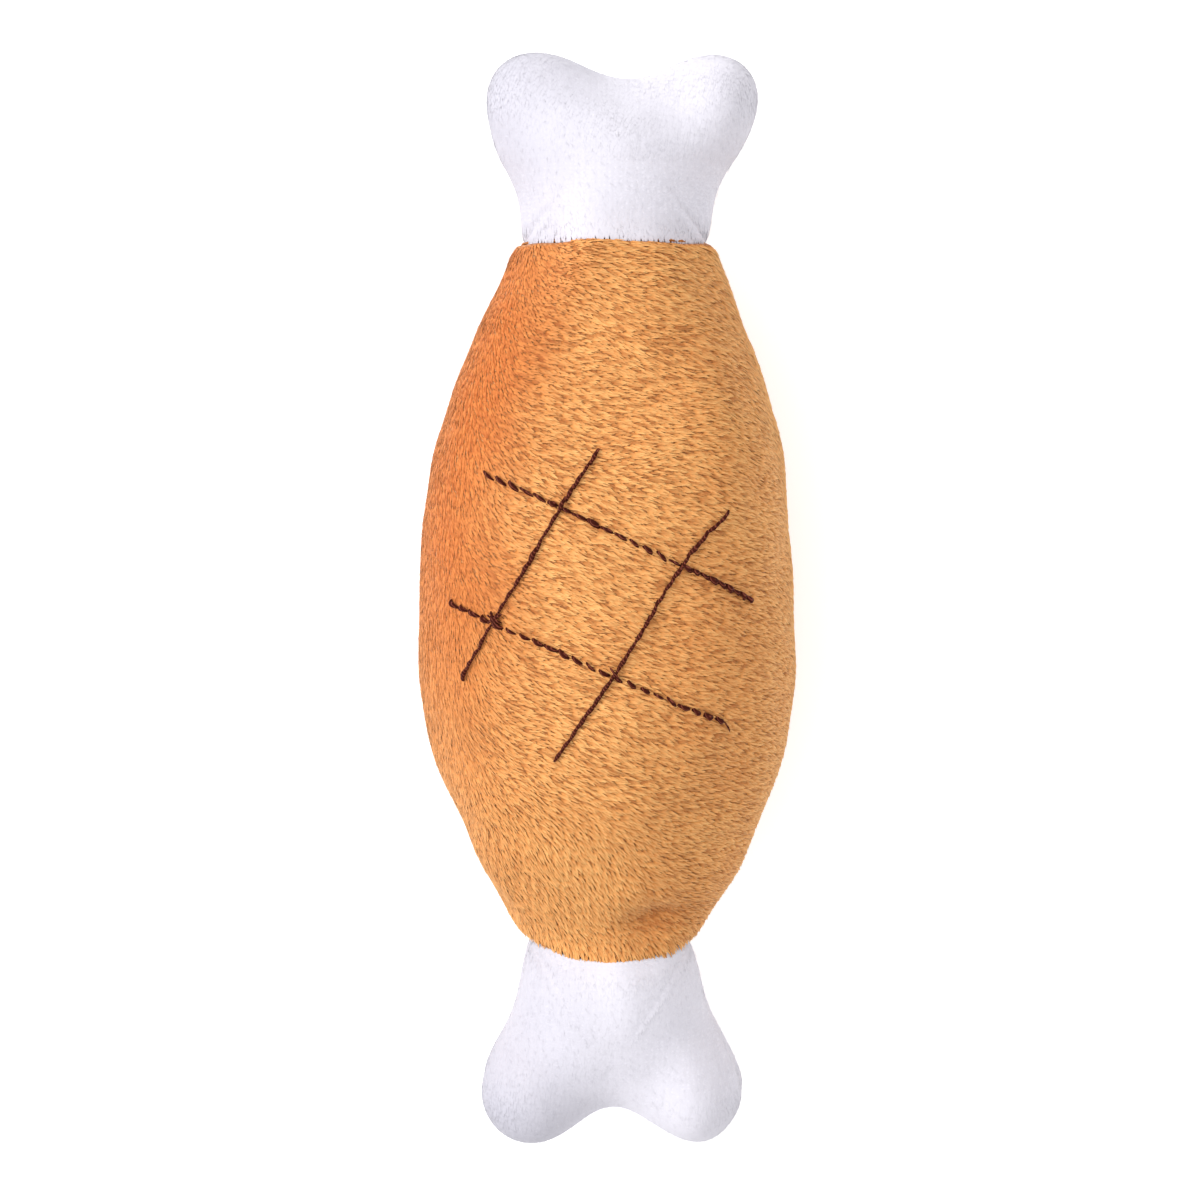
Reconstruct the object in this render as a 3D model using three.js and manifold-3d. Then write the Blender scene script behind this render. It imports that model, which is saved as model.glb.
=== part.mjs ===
// A stuffed plush dog toy that squeaks: a tan barrel body, like a roast, on a white bone.
//
// The toy lies on its back. X runs across it, Y along it towards the top end of the bone, and Z up
// through the embroidered front. The origin is on the table, under the middle of the toy.
// Every length is in millimetres and every angle in radians.

import * as THREE from 'three';
import { mergeVertices } from 'three/addons/utils/BufferGeometryUtils.js';
import Module from 'manifold-3d';

const solids = await Module();
solids.setup();

// Body: a barrel that narrows to two sewn necks
const bodyLength = 124.8;
const bellyToTopSeam = 60.1;
const bellyHalfWidth = 34.9;
const bellyHalfDepth = 30;
const topNeckHalfWidth = 18.2;
const topNeckHalfDepth = 16.4;
const bottomNeckHalfWidth = 17.4;
const bottomNeckHalfDepth = 15.8;
const topTaperPower = 1.05;
const bottomTaperPower = 1.38;
const topSeamBow = 0.3;
const bottomSeamBow = 2.3;

// Bone ends: two lobes and a neck, all melting into each other
const topBone = {
  reach: 34,
  lobeOffset: 16.2,
  lobeRadius: 7.7,
  lobeHalfDepth: 11.6,
  tipSwell: 0.85,
  neckTuck: 0.5,
  neckEnd: 22.3,
  endRound: 8.1,
  lobeWeb: 30,
  neckWeb: 15.7,
  heartShare: 0.56,
};
const bottomBone = {
  reach: 41.2,
  lobeOffset: 15.4,
  lobeRadius: 8.8,
  lobeHalfDepth: 12.4,
  tipSwell: 0.6,
  neckTuck: 2.2,
  neckEnd: 19.2,
  endRound: 14.3,
  lobeWeb: 17.8,
  neckWeb: 30,
  heartShare: 0.52,
};

// The whole toy bends a little, so both ends stand off to one side
const topLean = 2.7;
const bottomLean = 1.07;

// Cloth, seams and stuffing
const fabric = 2.4; // knitted backing and pile together
const clearance = 0.3;
const threadDiameter = 0.6;
const allowanceWidth = 4;
const allowanceThickness = 0.8;
const restFlatDepth = 0.5;
const squeezeTravel = 12; // how far a bite presses the front in; what rides on it stays above the middle

// Embroidery: two lines each way, like the marks of a grill
const grillStitch = 2.5;
const grillThreadRadius = 0.5;
const grillWaistRadius = 0.28;
const grillHopHalfLength = 2.4;
const backingThickness = 0.4;
const backingMargin = 3;

// Hand-sewn closing, over the place where the toy was turned and stuffed
const closingLength = 32;
const closingPitch = 4;
const closingReach = 1.3;

// Squeaker: a soft bladder whose neck holds a reed between two half plugs
const squeakerBelowBelly = 8;
const bladderRadius = 21;
const bladderHalfHeight = 12;
const bladderFaceRadius = 11;
const bladderWall = 0.9;
const squeakerNeckRadius = 6.6;
const squeakerNeckLength = 8;
const plugLength = 11;
const lipThickness = 1.2;
const reedWidth = 3.6;
const reedLength = 8.5;
const reedThickness = 0.25;
const reedClampLength = 2.4;
const reedSwing = 0.7;
const airSlotWidth = 2.6;
const airSlotDepth = 1.7;

// One overrun serves every cut, so that no cut ends on a face
const overrun = 6;
const mergeDistance = 0.0001;

// Smoothness, in counts
const aroundSkin = 28;
const alongSkin = 14;
const aroundLining = 20;
const alongLining = 9;
const bonePolarSkin = 17;
const bonePolarLining = 10;
const alongBow = 6;
const alongSideSeam = 20;
const alongBoneSeam = 28;
const aroundNeck = 24;
const ringsPerStitch = 3;
const grillThreadSides = 4;
const alongBladderRim = 4;
const threadSides = 5;
const bisections = 30;

// Places that follow from the sizes
const halfLength = (topBone.reach + bodyLength + bottomBone.reach) / 2;
const topSeamY = halfLength - topBone.reach;
const bottomSeamY = topSeamY - bodyLength;
const bellyY = topSeamY - bellyToTopSeam;
const middleZ = bellyHalfDepth - restFlatDepth;
const threadRadius = threadDiameter / 2;
const seamSetback = threadRadius + clearance; // from a seam's middle to the cloth beside it
const liningSetback = seamSetback + allowanceThickness + clearance;
const midCloth = fabric / 2;

const ends = {
  top: {
    side: 1, bone: topBone, seamY: topSeamY, bow: topSeamBow, power: topTaperPower,
    halfWidth: topNeckHalfWidth, halfDepth: topNeckHalfDepth,
  },
  bottom: {
    side: -1, bone: bottomBone, seamY: bottomSeamY, bow: bottomSeamBow, power: bottomTaperPower,
    halfWidth: bottomNeckHalfWidth, halfDepth: bottomNeckHalfDepth,
  },
};

// Solids: a closed mesh becomes a solid, and a solid becomes a mesh again
function closedGeometry(geometry) {
  const plain = new THREE.BufferGeometry();
  plain.setAttribute('position', geometry.getAttribute('position').clone());
  plain.setIndex(geometry.getIndex());
  return mergeVertices(plain, mergeDistance);
}

function solidFrom(geometry) {
  const merged = closedGeometry(geometry);
  const place = merged.getAttribute('position');
  const index = merged.getIndex().array;
  const corners = Array.from(index, (vertex) => new THREE.Vector3().fromBufferAttribute(place, vertex));
  const triangles = [];
  let volume = 0;
  for (let i = 0; i < index.length; i += 3) {
    const [a, b, c] = [index[i], index[i + 1], index[i + 2]];
    if (a === b || b === c || c === a) continue;
    triangles.push([a, b, c]);
    volume += corners[i].dot(corners[i + 1].clone().cross(corners[i + 2]));
  }
  if (volume < 0) triangles.forEach((triangle) => triangle.reverse());
  return new solids.Manifold(new solids.Mesh({
    numProp: 3,
    vertProperties: new Float32Array(place.array),
    triVerts: new Uint32Array(triangles.flat()),
  }));
}

function geometryFrom(solid) {
  const mesh = solid.getMesh();
  const geometry = new THREE.BufferGeometry();
  geometry.setAttribute('position', new THREE.BufferAttribute(mesh.vertProperties.slice(), 3));
  geometry.setIndex(new THREE.BufferAttribute(mesh.triVerts.slice(), 1));
  geometry.computeVertexNormals();
  return geometry;
}

// A skin through rings of points; closed rings make a ring-shaped tube, and open ones get flat ends
function skinThrough(rings, closed = false) {
  const sides = rings[0].length;
  const points = rings.flat();
  const index = [];
  const spans = closed ? rings.length : rings.length - 1;
  for (let i = 0; i < spans; i += 1) {
    const here = i * sides;
    const next = ((i + 1) % rings.length) * sides;
    for (let j = 0; j < sides; j += 1) {
      const k = (j + 1) % sides;
      index.push(here + j, here + k, next + k, here + j, next + k, next + j);
    }
  }
  if (!closed) {
    const last = (rings.length - 1) * sides;
    for (let j = 1; j < sides - 1; j += 1) {
      index.push(0, j + 1, j, last, last + j, last + j + 1);
    }
  }
  const geometry = new THREE.BufferGeometry().setFromPoints(points);
  geometry.setIndex(index);
  return geometry;
}

// Body form
function lean(y) {
  const share = y / halfLength;
  return (y > 0 ? topLean : bottomLean) * share * share;
}

function taper(y) {
  const end = y > bellyY ? ends.top : ends.bottom;
  const share = Math.min((y - bellyY) / (end.seamY - bellyY), 1);
  const swell = Math.cos((Math.PI / 2) * share ** end.power);
  return {
    halfWidth: end.halfWidth + (bellyHalfWidth - end.halfWidth) * swell,
    halfDepth: end.halfDepth + (bellyHalfDepth - end.halfDepth) * swell,
  };
}

function bodyPoint(y, angle, inset) {
  const { halfWidth, halfDepth } = taper(y);
  return new THREE.Vector3(
    lean(y) + (halfWidth - inset) * Math.cos(angle),
    y,
    middleZ + (halfDepth - inset) * Math.sin(angle),
  );
}

function bodyForm(inset, around, along) {
  const low = bottomSeamY - bottomSeamBow - overrun;
  const high = topSeamY + topSeamBow + overrun;
  const rings = [];
  for (let i = 0; i <= along; i += 1) {
    const y = low + ((high - low) * i) / along;
    const ring = [];
    for (let j = 0; j < around; j += 1) {
      ring.push(bodyPoint(y, (2 * Math.PI * (j + 0.5)) / around, inset));
    }
    rings.push(ring);
  }
  return solidFrom(skinThrough(rings));
}

// Bone form: how far a point lies outside the blended lobes and neck
function melt(a, b, web) {
  const near = Math.max(web - Math.abs(a - b), 0) / web;
  return Math.min(a, b) - (near * near * web) / 4;
}

function outsideLobe(x, along, z, bone) {
  const scaled = new THREE.Vector3(x / bone.lobeRadius, along / bone.lobeRadius, z / bone.lobeHalfDepth);
  const steep = new THREE.Vector3(
    scaled.x / bone.lobeRadius,
    scaled.y / bone.lobeRadius,
    scaled.z / bone.lobeHalfDepth,
  );
  const share = scaled.length();
  return share === 0 ? -bone.lobeRadius : (share * (share - 1)) / steep.length();
}

function outsideBone(x, along, z, end) {
  const { bone } = end;
  const lobeAt = bone.reach - bone.lobeRadius - bone.tipSwell;
  const right = outsideLobe(x - bone.lobeOffset, along - lobeAt, z, bone);
  const left = outsideLobe(x + bone.lobeOffset, along - lobeAt, z, bone);
  const neckRadius = end.halfWidth - bone.neckTuck;
  const across = Math.hypot(x, (z * neckRadius) / end.halfDepth) - (neckRadius - bone.endRound);
  const beyond = along - (bone.neckEnd - bone.endRound);
  const neck = Math.min(Math.max(across, beyond), 0)
    + Math.hypot(Math.max(across, 0), Math.max(beyond, 0)) - bone.endRound;
  return melt(melt(right, left, bone.lobeWeb), neck, bone.neckWeb);
}

// Where a ray from the bone's heart leaves the form; polar 0 points to the tip, away from the body
function boneRay(end, polar, around, inset) {
  const heart = end.bone.reach * end.bone.heartShare;
  const way = new THREE.Vector3(
    Math.sin(polar) * Math.cos(around),
    Math.cos(polar),
    Math.sin(polar) * Math.sin(around),
  );
  let near = 0;
  let far = 2 * end.bone.reach;
  const root = heart + 2 * overrun;
  if (way.y < 0) far = Math.min(far, -root / way.y);
  for (let i = 0; i < bisections; i += 1) {
    const tryAt = (near + far) / 2;
    const outside = outsideBone(way.x * tryAt, heart + way.y * tryAt, way.z * tryAt, end) + inset;
    if (outside < 0) near = tryAt;
    else far = tryAt;
  }
  const y = end.seamY + end.side * (heart + way.y * far);
  return new THREE.Vector3(lean(y) + way.x * far, y, middleZ + way.z * far);
}

function boneForm(end, inset, around, polar) {
  const points = [boneRay(end, 0, 0, inset)];
  const index = [];
  const ringStart = (i) => 1 + (i - 1) * around;
  for (let i = 1; i < polar; i += 1) {
    for (let j = 0; j < around; j += 1) {
      points.push(boneRay(end, (Math.PI * i) / polar, (2 * Math.PI * (j + 0.5)) / around, inset));
    }
  }
  points.push(boneRay(end, Math.PI, 0, inset));
  for (let j = 0; j < around; j += 1) {
    const k = (j + 1) % around;
    index.push(0, ringStart(1) + k, ringStart(1) + j);
    for (let i = 1; i < polar - 1; i += 1) {
      const [here, next] = [ringStart(i), ringStart(i + 1)];
      index.push(here + j, here + k, next + k, here + j, next + k, next + j);
    }
    index.push(ringStart(polar - 1) + j, ringStart(polar - 1) + k, points.length - 1);
  }
  const geometry = new THREE.BufferGeometry().setFromPoints(points);
  geometry.setIndex(index);
  return solidFrom(geometry);
}

// Zones: the space of one panel, drawn back from every seam that bounds it
const farHalfWidth = bellyHalfWidth + topLean + overrun;
const farHalfDepth = bellyHalfDepth + overrun;
const farHalfLength = halfLength + overrun;

function throughDepth(outline) {
  const geometry = new THREE.ExtrudeGeometry(outline, {
    depth: 2 * farHalfDepth,
    bevelEnabled: false,
    curveSegments: alongBow,
  });
  geometry.translate(0, 0, middleZ - farHalfDepth);
  return solidFrom(geometry);
}

function bowedEdge(outline, end, direction, setback) {
  const y = end.seamY - end.side * setback;
  const [from, to] = [-direction * end.halfWidth, direction * end.halfWidth];
  const middle = lean(end.seamY);
  outline.lineTo(-direction * farHalfWidth, y);
  outline.lineTo(middle + from, y);
  outline.quadraticCurveTo(middle, y + end.side * 2 * end.bow, middle + to, y);
  outline.lineTo(direction * farHalfWidth, y);
}

function bodyZone(setback) {
  const outline = new THREE.Shape();
  outline.moveTo(-farHalfWidth, bellyY);
  bowedEdge(outline, ends.bottom, 1, setback);
  outline.lineTo(farHalfWidth, bellyY);
  bowedEdge(outline, ends.top, -1, setback);
  return throughDepth(outline);
}

function boneZone(end, setback) {
  const outline = new THREE.Shape();
  outline.moveTo(-end.side * farHalfWidth, end.side * farHalfLength);
  bowedEdge(outline, end, end.side, -setback);
  outline.lineTo(end.side * farHalfWidth, end.side * farHalfLength);
  return throughDepth(outline);
}

function boxSolid(low, high) {
  const size = high.clone().sub(low);
  const geometry = new THREE.BoxGeometry(size.x, size.y, size.z);
  geometry.translate(...low.clone().add(high).multiplyScalar(0.5).toArray());
  return solidFrom(geometry);
}

function halfSpace(facing, setback) {
  const face = middleZ + facing * setback;
  const far = middleZ + facing * farHalfDepth;
  return boxSolid(
    new THREE.Vector3(-farHalfWidth, -farHalfLength, Math.min(face, far)),
    new THREE.Vector3(farHalfWidth, farHalfLength, Math.max(face, far)),
  );
}

// Cloth and stuffing of one zone. Each panel has its wall, and a seam allowance turned in along
// every seam. The stuffing fills the wall out and passes between the allowances.
const front = 1;
const back = -1;

function panel(form, zone) {
  const wall = form.skin.subtract(form.lining).intersect(zone(seamSetback));
  const band = form.middle.subtract(form.core);
  const allowance = band.intersect(zone(seamSetback).subtract(zone(seamSetback + allowanceThickness)));
  return wall.add(allowance);
}

const bodyForms = {
  skin: bodyForm(0, aroundSkin, alongSkin),
  middle: bodyForm(midCloth, aroundLining, alongLining),
  lining: bodyForm(fabric, aroundLining, alongLining),
  core: bodyForm(fabric + allowanceWidth, aroundLining, alongLining),
  stuffing: bodyForm(fabric + clearance, aroundLining, alongLining),
  stuffingCore: bodyForm(fabric + allowanceWidth + clearance, aroundLining, alongLining),
};

function boneForms(end) {
  const lined = (inset) => boneForm(end, inset, aroundLining, bonePolarLining);
  return {
    skin: boneForm(end, 0, aroundSkin, bonePolarSkin),
    middle: lined(midCloth),
    lining: lined(fabric),
    core: lined(fabric + allowanceWidth),
    stuffing: lined(fabric + clearance),
    stuffingCore: lined(fabric + allowanceWidth + clearance),
  };
}

function bodyHalf(facing) {
  return (setback) => bodyZone(setback).intersect(halfSpace(facing, setback));
}

function boneHalf(end, facing) {
  return (setback) => boneZone(end, setback).intersect(halfSpace(facing, setback));
}

function bodyFilling(facing) {
  const zone = bodyHalf(facing);
  return bodyForms.stuffing.intersect(zone(liningSetback))
    .add(bodyForms.stuffingCore.intersect(zone(clearance / 2)));
}

function boneFilling(end, forms) {
  const clearOfSeams = boneHalf(end, front)(liningSetback).add(boneHalf(end, back)(liningSetback));
  return forms.stuffing.intersect(clearOfSeams)
    .add(forms.stuffingCore.intersect(boneZone(end, clearance / 2)));
}

// Threads
function roundSection(radius) {
  const section = new THREE.Shape();
  for (let i = 0; i < threadSides; i += 1) {
    const angle = (2 * Math.PI * i) / threadSides;
    const [x, y] = [radius * Math.cos(angle), radius * Math.sin(angle)];
    if (i === 0) section.moveTo(x, y);
    else section.lineTo(x, y);
  }
  section.closePath();
  return section;
}

function seamThread(points, steps) {
  const path = new THREE.CatmullRomCurve3(points);
  const tube = new THREE.ExtrudeGeometry(roundSection(threadRadius), { steps, extrudePath: path });
  return geometryFrom(solidFrom(tube));
}

function sideSeamThread(hand) {
  const low = bottomSeamY + seamSetback;
  const high = topSeamY - seamSetback;
  const points = [];
  for (let i = 0; i <= alongSideSeam; i += 1) {
    points.push(bodyPoint(low + ((high - low) * i) / alongSideSeam, hand > 0 ? 0 : Math.PI, midCloth));
  }
  return seamThread(points, alongSideSeam);
}

function boneSeamThread(end) {
  const heart = end.bone.reach * end.bone.heartShare;
  const rim = end.halfWidth - midCloth;
  const furthest = Math.PI - Math.atan2(rim, heart - 2 * seamSetback);
  const points = [];
  for (let i = 0; i <= alongBoneSeam; i += 1) {
    const polar = furthest * ((2 * i) / alongBoneSeam - 1);
    points.push(boneRay(end, Math.abs(polar), polar < 0 ? Math.PI : 0, midCloth));
  }
  return seamThread(points, alongBoneSeam);
}

function neckSeamThread(end) {
  const [halfWidth, halfDepth] = [end.halfWidth - midCloth, end.halfDepth - midCloth];
  const rings = [];
  for (let i = 0; i < aroundNeck; i += 1) {
    const angle = (2 * Math.PI * i) / aroundNeck;
    const across = halfWidth * Math.cos(angle);
    const bow = end.bow * (1 - (across / end.halfWidth) ** 2);
    const middle = new THREE.Vector3(
      lean(end.seamY) + across,
      end.seamY + end.side * bow,
      middleZ + halfDepth * Math.sin(angle),
    );
    const outward = new THREE.Vector3(Math.cos(angle) / halfWidth, 0, Math.sin(angle) / halfDepth);
    outward.normalize().multiplyScalar(threadRadius);
    const along = new THREE.Vector3(0, threadRadius, 0);
    const ring = [];
    for (let j = 0; j < threadSides; j += 1) {
      const turn = (2 * Math.PI * j) / threadSides;
      const rim = middle.clone().addScaledVector(outward, Math.cos(turn));
      ring.push(rim.addScaledVector(along, Math.sin(turn)));
    }
    rings.push(ring);
  }
  return geometryFrom(solidFrom(skinThrough(rings, true)));
}

function closingStitch() {
  const lift = threadRadius + clearance;
  const crossings = Math.round((2 * closingLength) / closingPitch);
  const points = [];
  for (let i = 0; i <= crossings; i += 1) {
    const y = bellyY - closingLength / 2 + (closingLength * i) / crossings;
    const angle = (i % 2 ? 1 : -1) * Math.asin(closingReach / taper(y).halfDepth);
    points.push(bodyPoint(y, angle, -lift));
  }
  return seamThread(points, 2 * crossings);
}

// Embroidery. Places are shares of the belly's half width and of half the body's length.
const crossingShares = {
  upperLeft: [-0.223, 0.327],
  upperRight: [0.344, 0.172],
  lowerLeft: [-0.534, 0.014],
  lowerRight: [0.024, -0.125],
};
const { upperLeft, upperRight, lowerLeft, lowerRight } = crossingShares;
const upperLineShares = [[-0.589, 0.414], upperLeft, upperRight, [0.698, 0.065]];
const lowerLineShares = [[-0.758, 0.059], lowerLeft, lowerRight, [0.56, -0.265]];
const leftLineShares = [[-0.046, 0.483], upperLeft, lowerLeft, [-0.696, -0.151]];
const rightLineShares = [[0.558, 0.314], upperRight, lowerRight, [-0.25, -0.362]];
const linesSewnFirst = { grill_line_upper: upperLineShares, grill_line_lower: lowerLineShares };
const linesSewnOver = { grill_line_left: leftLineShares, grill_line_right: rightLineShares };

function fromShare([across, along]) {
  return new THREE.Vector2(across * bellyHalfWidth, (along * bodyLength) / 2);
}

function onFront(place, inset) {
  const { halfWidth } = taper(place.y);
  return bodyPoint(place.y, Math.acos((place.x - lean(place.y)) / (halfWidth - inset)), inset);
}

function grillLine(lineShares, hops) {
  const path = new THREE.SplineCurve(lineShares.map(fromShare));
  const onCloth = path.getSpacedPoints(alongSkin).map((place) => onFront(place, 0));
  const length = new THREE.CatmullRomCurve3(onCloth).getLength();
  const stitches = Math.round(length / grillStitch);
  const steps = ringsPerStitch * stitches;
  const crossings = Object.values(crossingShares).map(fromShare);
  const places = path.getSpacedPoints(steps);
  const rings = places.map((place, i) => {
    const waist = i % ringsPerStitch === 0;
    const radius = waist ? grillWaistRadius : grillThreadRadius;
    const nearest = Math.min(...crossings.map((crossing) => crossing.distanceTo(place)));
    const near = Math.max(1 - nearest / grillHopHalfLength, 0);
    const hop = hops ? (2 * grillThreadRadius + clearance) * Math.sin((Math.PI / 2) * near) : 0;
    const lift = -(clearance + radius + hop);
    const middle = onFront(place, lift);
    const up = onFront(place, lift - radius).sub(middle).normalize().multiplyScalar(radius);
    const before = places[Math.max(i - 1, 0)];
    const after = places[Math.min(i + 1, steps)];
    const forward = onFront(after, lift).sub(onFront(before, lift)).normalize();
    const across = forward.cross(up).normalize().multiplyScalar(radius);
    const ring = [];
    for (let j = 0; j < grillThreadSides; j += 1) {
      const turn = (2 * Math.PI * j) / grillThreadSides;
      ring.push(middle.clone().addScaledVector(across, Math.cos(turn)).addScaledVector(up, Math.sin(turn)));
    }
    return ring;
  });
  return geometryFrom(solidFrom(skinThrough(rings)));
}

function backingPatch(margin) {
  const places = Object.values({ ...linesSewnFirst, ...linesSewnOver }).flat().map(fromShare);
  const spread = new THREE.Box2().setFromPoints(places).expandByScalar(margin);
  const lowest = middleZ + squeezeTravel + clearance + backingMargin - margin;
  return boxSolid(
    new THREE.Vector3(spread.min.x, spread.min.y, lowest),
    new THREE.Vector3(spread.max.x, spread.max.y, middleZ + farHalfDepth),
  );
}

function liningSheet(nearInset, farInset) {
  return bodyForm(nearInset, aroundLining, alongLining)
    .subtract(bodyForm(farInset, aroundLining, alongLining));
}

function embroideryBacking() {
  const near = fabric + clearance;
  return liningSheet(near, near + backingThickness).intersect(backingPatch(backingMargin));
}

function backingPocket() {
  return liningSheet(midCloth, fabric + backingThickness + 2 * clearance)
    .intersect(backingPatch(backingMargin + clearance));
}

// Squeaker, about its own middle, with its neck along +Y
const squeakerPlace = new THREE.Vector3();
squeakerPlace.y = bellyY - squeakerBelowBelly;
squeakerPlace.x = lean(squeakerPlace.y);
squeakerPlace.z = middleZ;
const neckMouth = bladderRadius + squeakerNeckLength;
const boreRadius = squeakerNeckRadius - bladderWall;
const plugStart = neckMouth - plugLength;
const lipStart = neckMouth + clearance;
const plugEnd = lipStart + lipThickness;
const reedClampEnd = plugEnd - lipThickness;
const reedClampStart = reedClampEnd - reedClampLength;
const reedTip = reedClampEnd - reedLength;

function drum(grow) {
  const [radius, half] = [bladderRadius + grow, bladderHalfHeight + grow];
  const outline = new THREE.Path();
  outline.moveTo(0, -half);
  outline.lineTo(bladderFaceRadius, -half);
  const rim = radius - bladderFaceRadius;
  outline.absellipse(bladderFaceRadius, 0, rim, half, -Math.PI / 2, Math.PI / 2, false);
  outline.lineTo(0, half);
  const turned = new THREE.LatheGeometry(outline.getPoints(alongBladderRim), aroundLining);
  turned.rotateX(Math.PI / 2);
  return solidFrom(turned);
}

function alongY(radius, start, end) {
  const round = new THREE.CylinderGeometry(radius, radius, end - start, aroundLining);
  round.translate(0, (start + end) / 2, 0);
  return solidFrom(round);
}

function squeakerEnvelope(grow) {
  return drum(grow)
    .add(alongY(squeakerNeckRadius + grow, 0, neckMouth + grow))
    .add(alongY(squeakerNeckRadius + grow, lipStart - grow, plugEnd + grow));
}

function squeakerBulb() {
  return drum(0)
    .add(alongY(squeakerNeckRadius, 0, neckMouth))
    .subtract(drum(-bladderWall))
    .subtract(alongY(boreRadius, 0, neckMouth + overrun));
}

function slot(halfWidth, start, end, low, high) {
  return boxSolid(new THREE.Vector3(-halfWidth, start, low), new THREE.Vector3(halfWidth, end, high));
}

function reedHolder(facing) {
  const shank = alongY(boreRadius - clearance, plugStart, plugEnd);
  const lip = alongY(squeakerNeckRadius, lipStart, plugEnd);
  const reach = squeakerNeckRadius + overrun;
  const [low, high] = facing > 0 ? [clearance / 2, reach] : [-reach, -clearance / 2];
  const half = slot(reach, plugStart - overrun, plugEnd + overrun, low, high);
  const seat = reedThickness / 2 + clearance;
  const seatHalfWidth = reedWidth / 2 + clearance;
  const chamber = reedThickness / 2 + reedSwing + clearance;
  const [channelLow, channelHigh] = facing > 0 ? [0, airSlotDepth] : [-airSlotDepth, 0];
  const [channelStart, channelEnd] = facing > 0
    ? [reedClampStart, plugEnd + overrun]
    : [plugStart - overrun, reedClampStart];
  return shank.add(lip).intersect(half)
    .subtract(slot(seatHalfWidth, reedTip - clearance, reedClampEnd + clearance, -seat, seat))
    .subtract(slot(seatHalfWidth, reedTip - clearance, reedClampStart, -chamber, chamber))
    .subtract(slot(airSlotWidth / 2, channelStart, channelEnd, channelLow, channelHigh));
}

function reed() {
  const halfThickness = reedThickness / 2;
  return slot(reedWidth / 2, reedTip, reedClampEnd, -halfThickness, halfThickness);
}

// Materials
const finishes = {
  tanPlush: { color: 0xdc9a60, roughness: 0.95, metalness: 0 },
  whitePlush: { color: 0xf3f0f6, roughness: 0.95, metalness: 0 },
  fibre: { color: 0xf4f3ef, roughness: 1, metalness: 0 },
  backing: { color: 0xf2f2ee, roughness: 0.9, metalness: 0 },
  brownThread: { color: 0x4a2014, roughness: 0.5, metalness: 0 },
  tanThread: { color: 0xc07a3c, roughness: 0.6, metalness: 0 },
  whiteThread: { color: 0xf5f3f0, roughness: 0.6, metalness: 0 },
  bladder: { color: 0xeef0ee, roughness: 0.4, metalness: 0 },
  holder: { color: 0xf4f4f2, roughness: 0.35, metalness: 0 },
  reedFilm: { color: 0xe4e2da, roughness: 0.3, metalness: 0 },
};

function named(name, shape, finish) {
  const geometry = shape instanceof THREE.BufferGeometry ? shape : geometryFrom(shape);
  const mesh = new THREE.Mesh(geometry, new THREE.MeshStandardMaterial(finishes[finish]));
  mesh.name = name;
  return mesh;
}

// Assembly
const table = boxSolid(
  new THREE.Vector3(-farHalfWidth, -farHalfLength, -farHalfDepth),
  new THREE.Vector3(farHalfWidth, farHalfLength, 0),
);
const squeakerPocket = squeakerEnvelope(clearance).translate(squeakerPlace.toArray());

const body = new THREE.Group();
body.add(
  named('body_front_panel', panel(bodyForms, bodyHalf(front)), 'tanPlush'),
  named('body_back_panel', panel(bodyForms, bodyHalf(back)).subtract(table), 'tanPlush'),
  named('body_front_filling', bodyFilling(front).subtract(squeakerPocket).subtract(backingPocket()),
    'fibre'),
  named('body_back_filling', bodyFilling(back).subtract(squeakerPocket), 'fibre'),
  named('left_side_seam_thread', sideSeamThread(-1), 'tanThread'),
  named('right_side_seam_thread', sideSeamThread(1), 'tanThread'),
  named('closing_stitch', closingStitch(), 'tanThread'),
);

const embroidery = new THREE.Group();
for (const [name, lineShares] of Object.entries(linesSewnFirst)) {
  embroidery.add(named(name, grillLine(lineShares, false), 'brownThread'));
}
for (const [name, lineShares] of Object.entries(linesSewnOver)) {
  embroidery.add(named(name, grillLine(lineShares, true), 'brownThread'));
}
embroidery.add(named('embroidery_backing', embroideryBacking(), 'backing'));
body.add(embroidery);

const squeaker = new THREE.Group();
squeaker.position.copy(squeakerPlace);
squeaker.add(
  named('squeaker_bulb', squeakerBulb(), 'bladder'),
  named('reed_holder_lower', reedHolder(back), 'holder'),
  named('reed_holder_upper', reedHolder(front), 'holder'),
  named('squeaker_reed', reed(), 'reedFilm'),
);
body.add(squeaker);

const toy = new THREE.Group();
toy.add(body);
for (const [name, end] of Object.entries(ends)) {
  const forms = boneForms(end);
  const bone = new THREE.Group();
  bone.add(
    named(`${name}_bone_front_panel`, panel(forms, boneHalf(end, front)), 'whitePlush'),
    named(`${name}_bone_back_panel`, panel(forms, boneHalf(end, back)), 'whitePlush'),
    named(`${name}_bone_filling`, boneFilling(end, forms), 'fibre'),
    named(`${name}_bone_seam_thread`, boneSeamThread(end), 'whiteThread'),
    named(`${name}_neck_seam_thread`, neckSeamThread(end), 'tanThread'),
  );
  toy.add(bone);
}

export default toy;
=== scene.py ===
# %% [markdown]
# # A squeaky plush toy, sewn, stuffed and combed
#
# The toy is a tan barrel on a white bone, with four embroidered lines on its front. Its solid pieces come from the
# frame, and this script dresses them: cloth with turned-in seams, pile, stitches, stuffing and a soft bladder.
# All sizes below are in millimetres, and the last step of each piece turns them into metres.

# %% Load the frame
from math import cos, pi, radians, sin

import bmesh
import bpy
import numpy as np
from mathutils import Matrix, Vector
from mathutils.bvhtree import BVHTree


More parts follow.
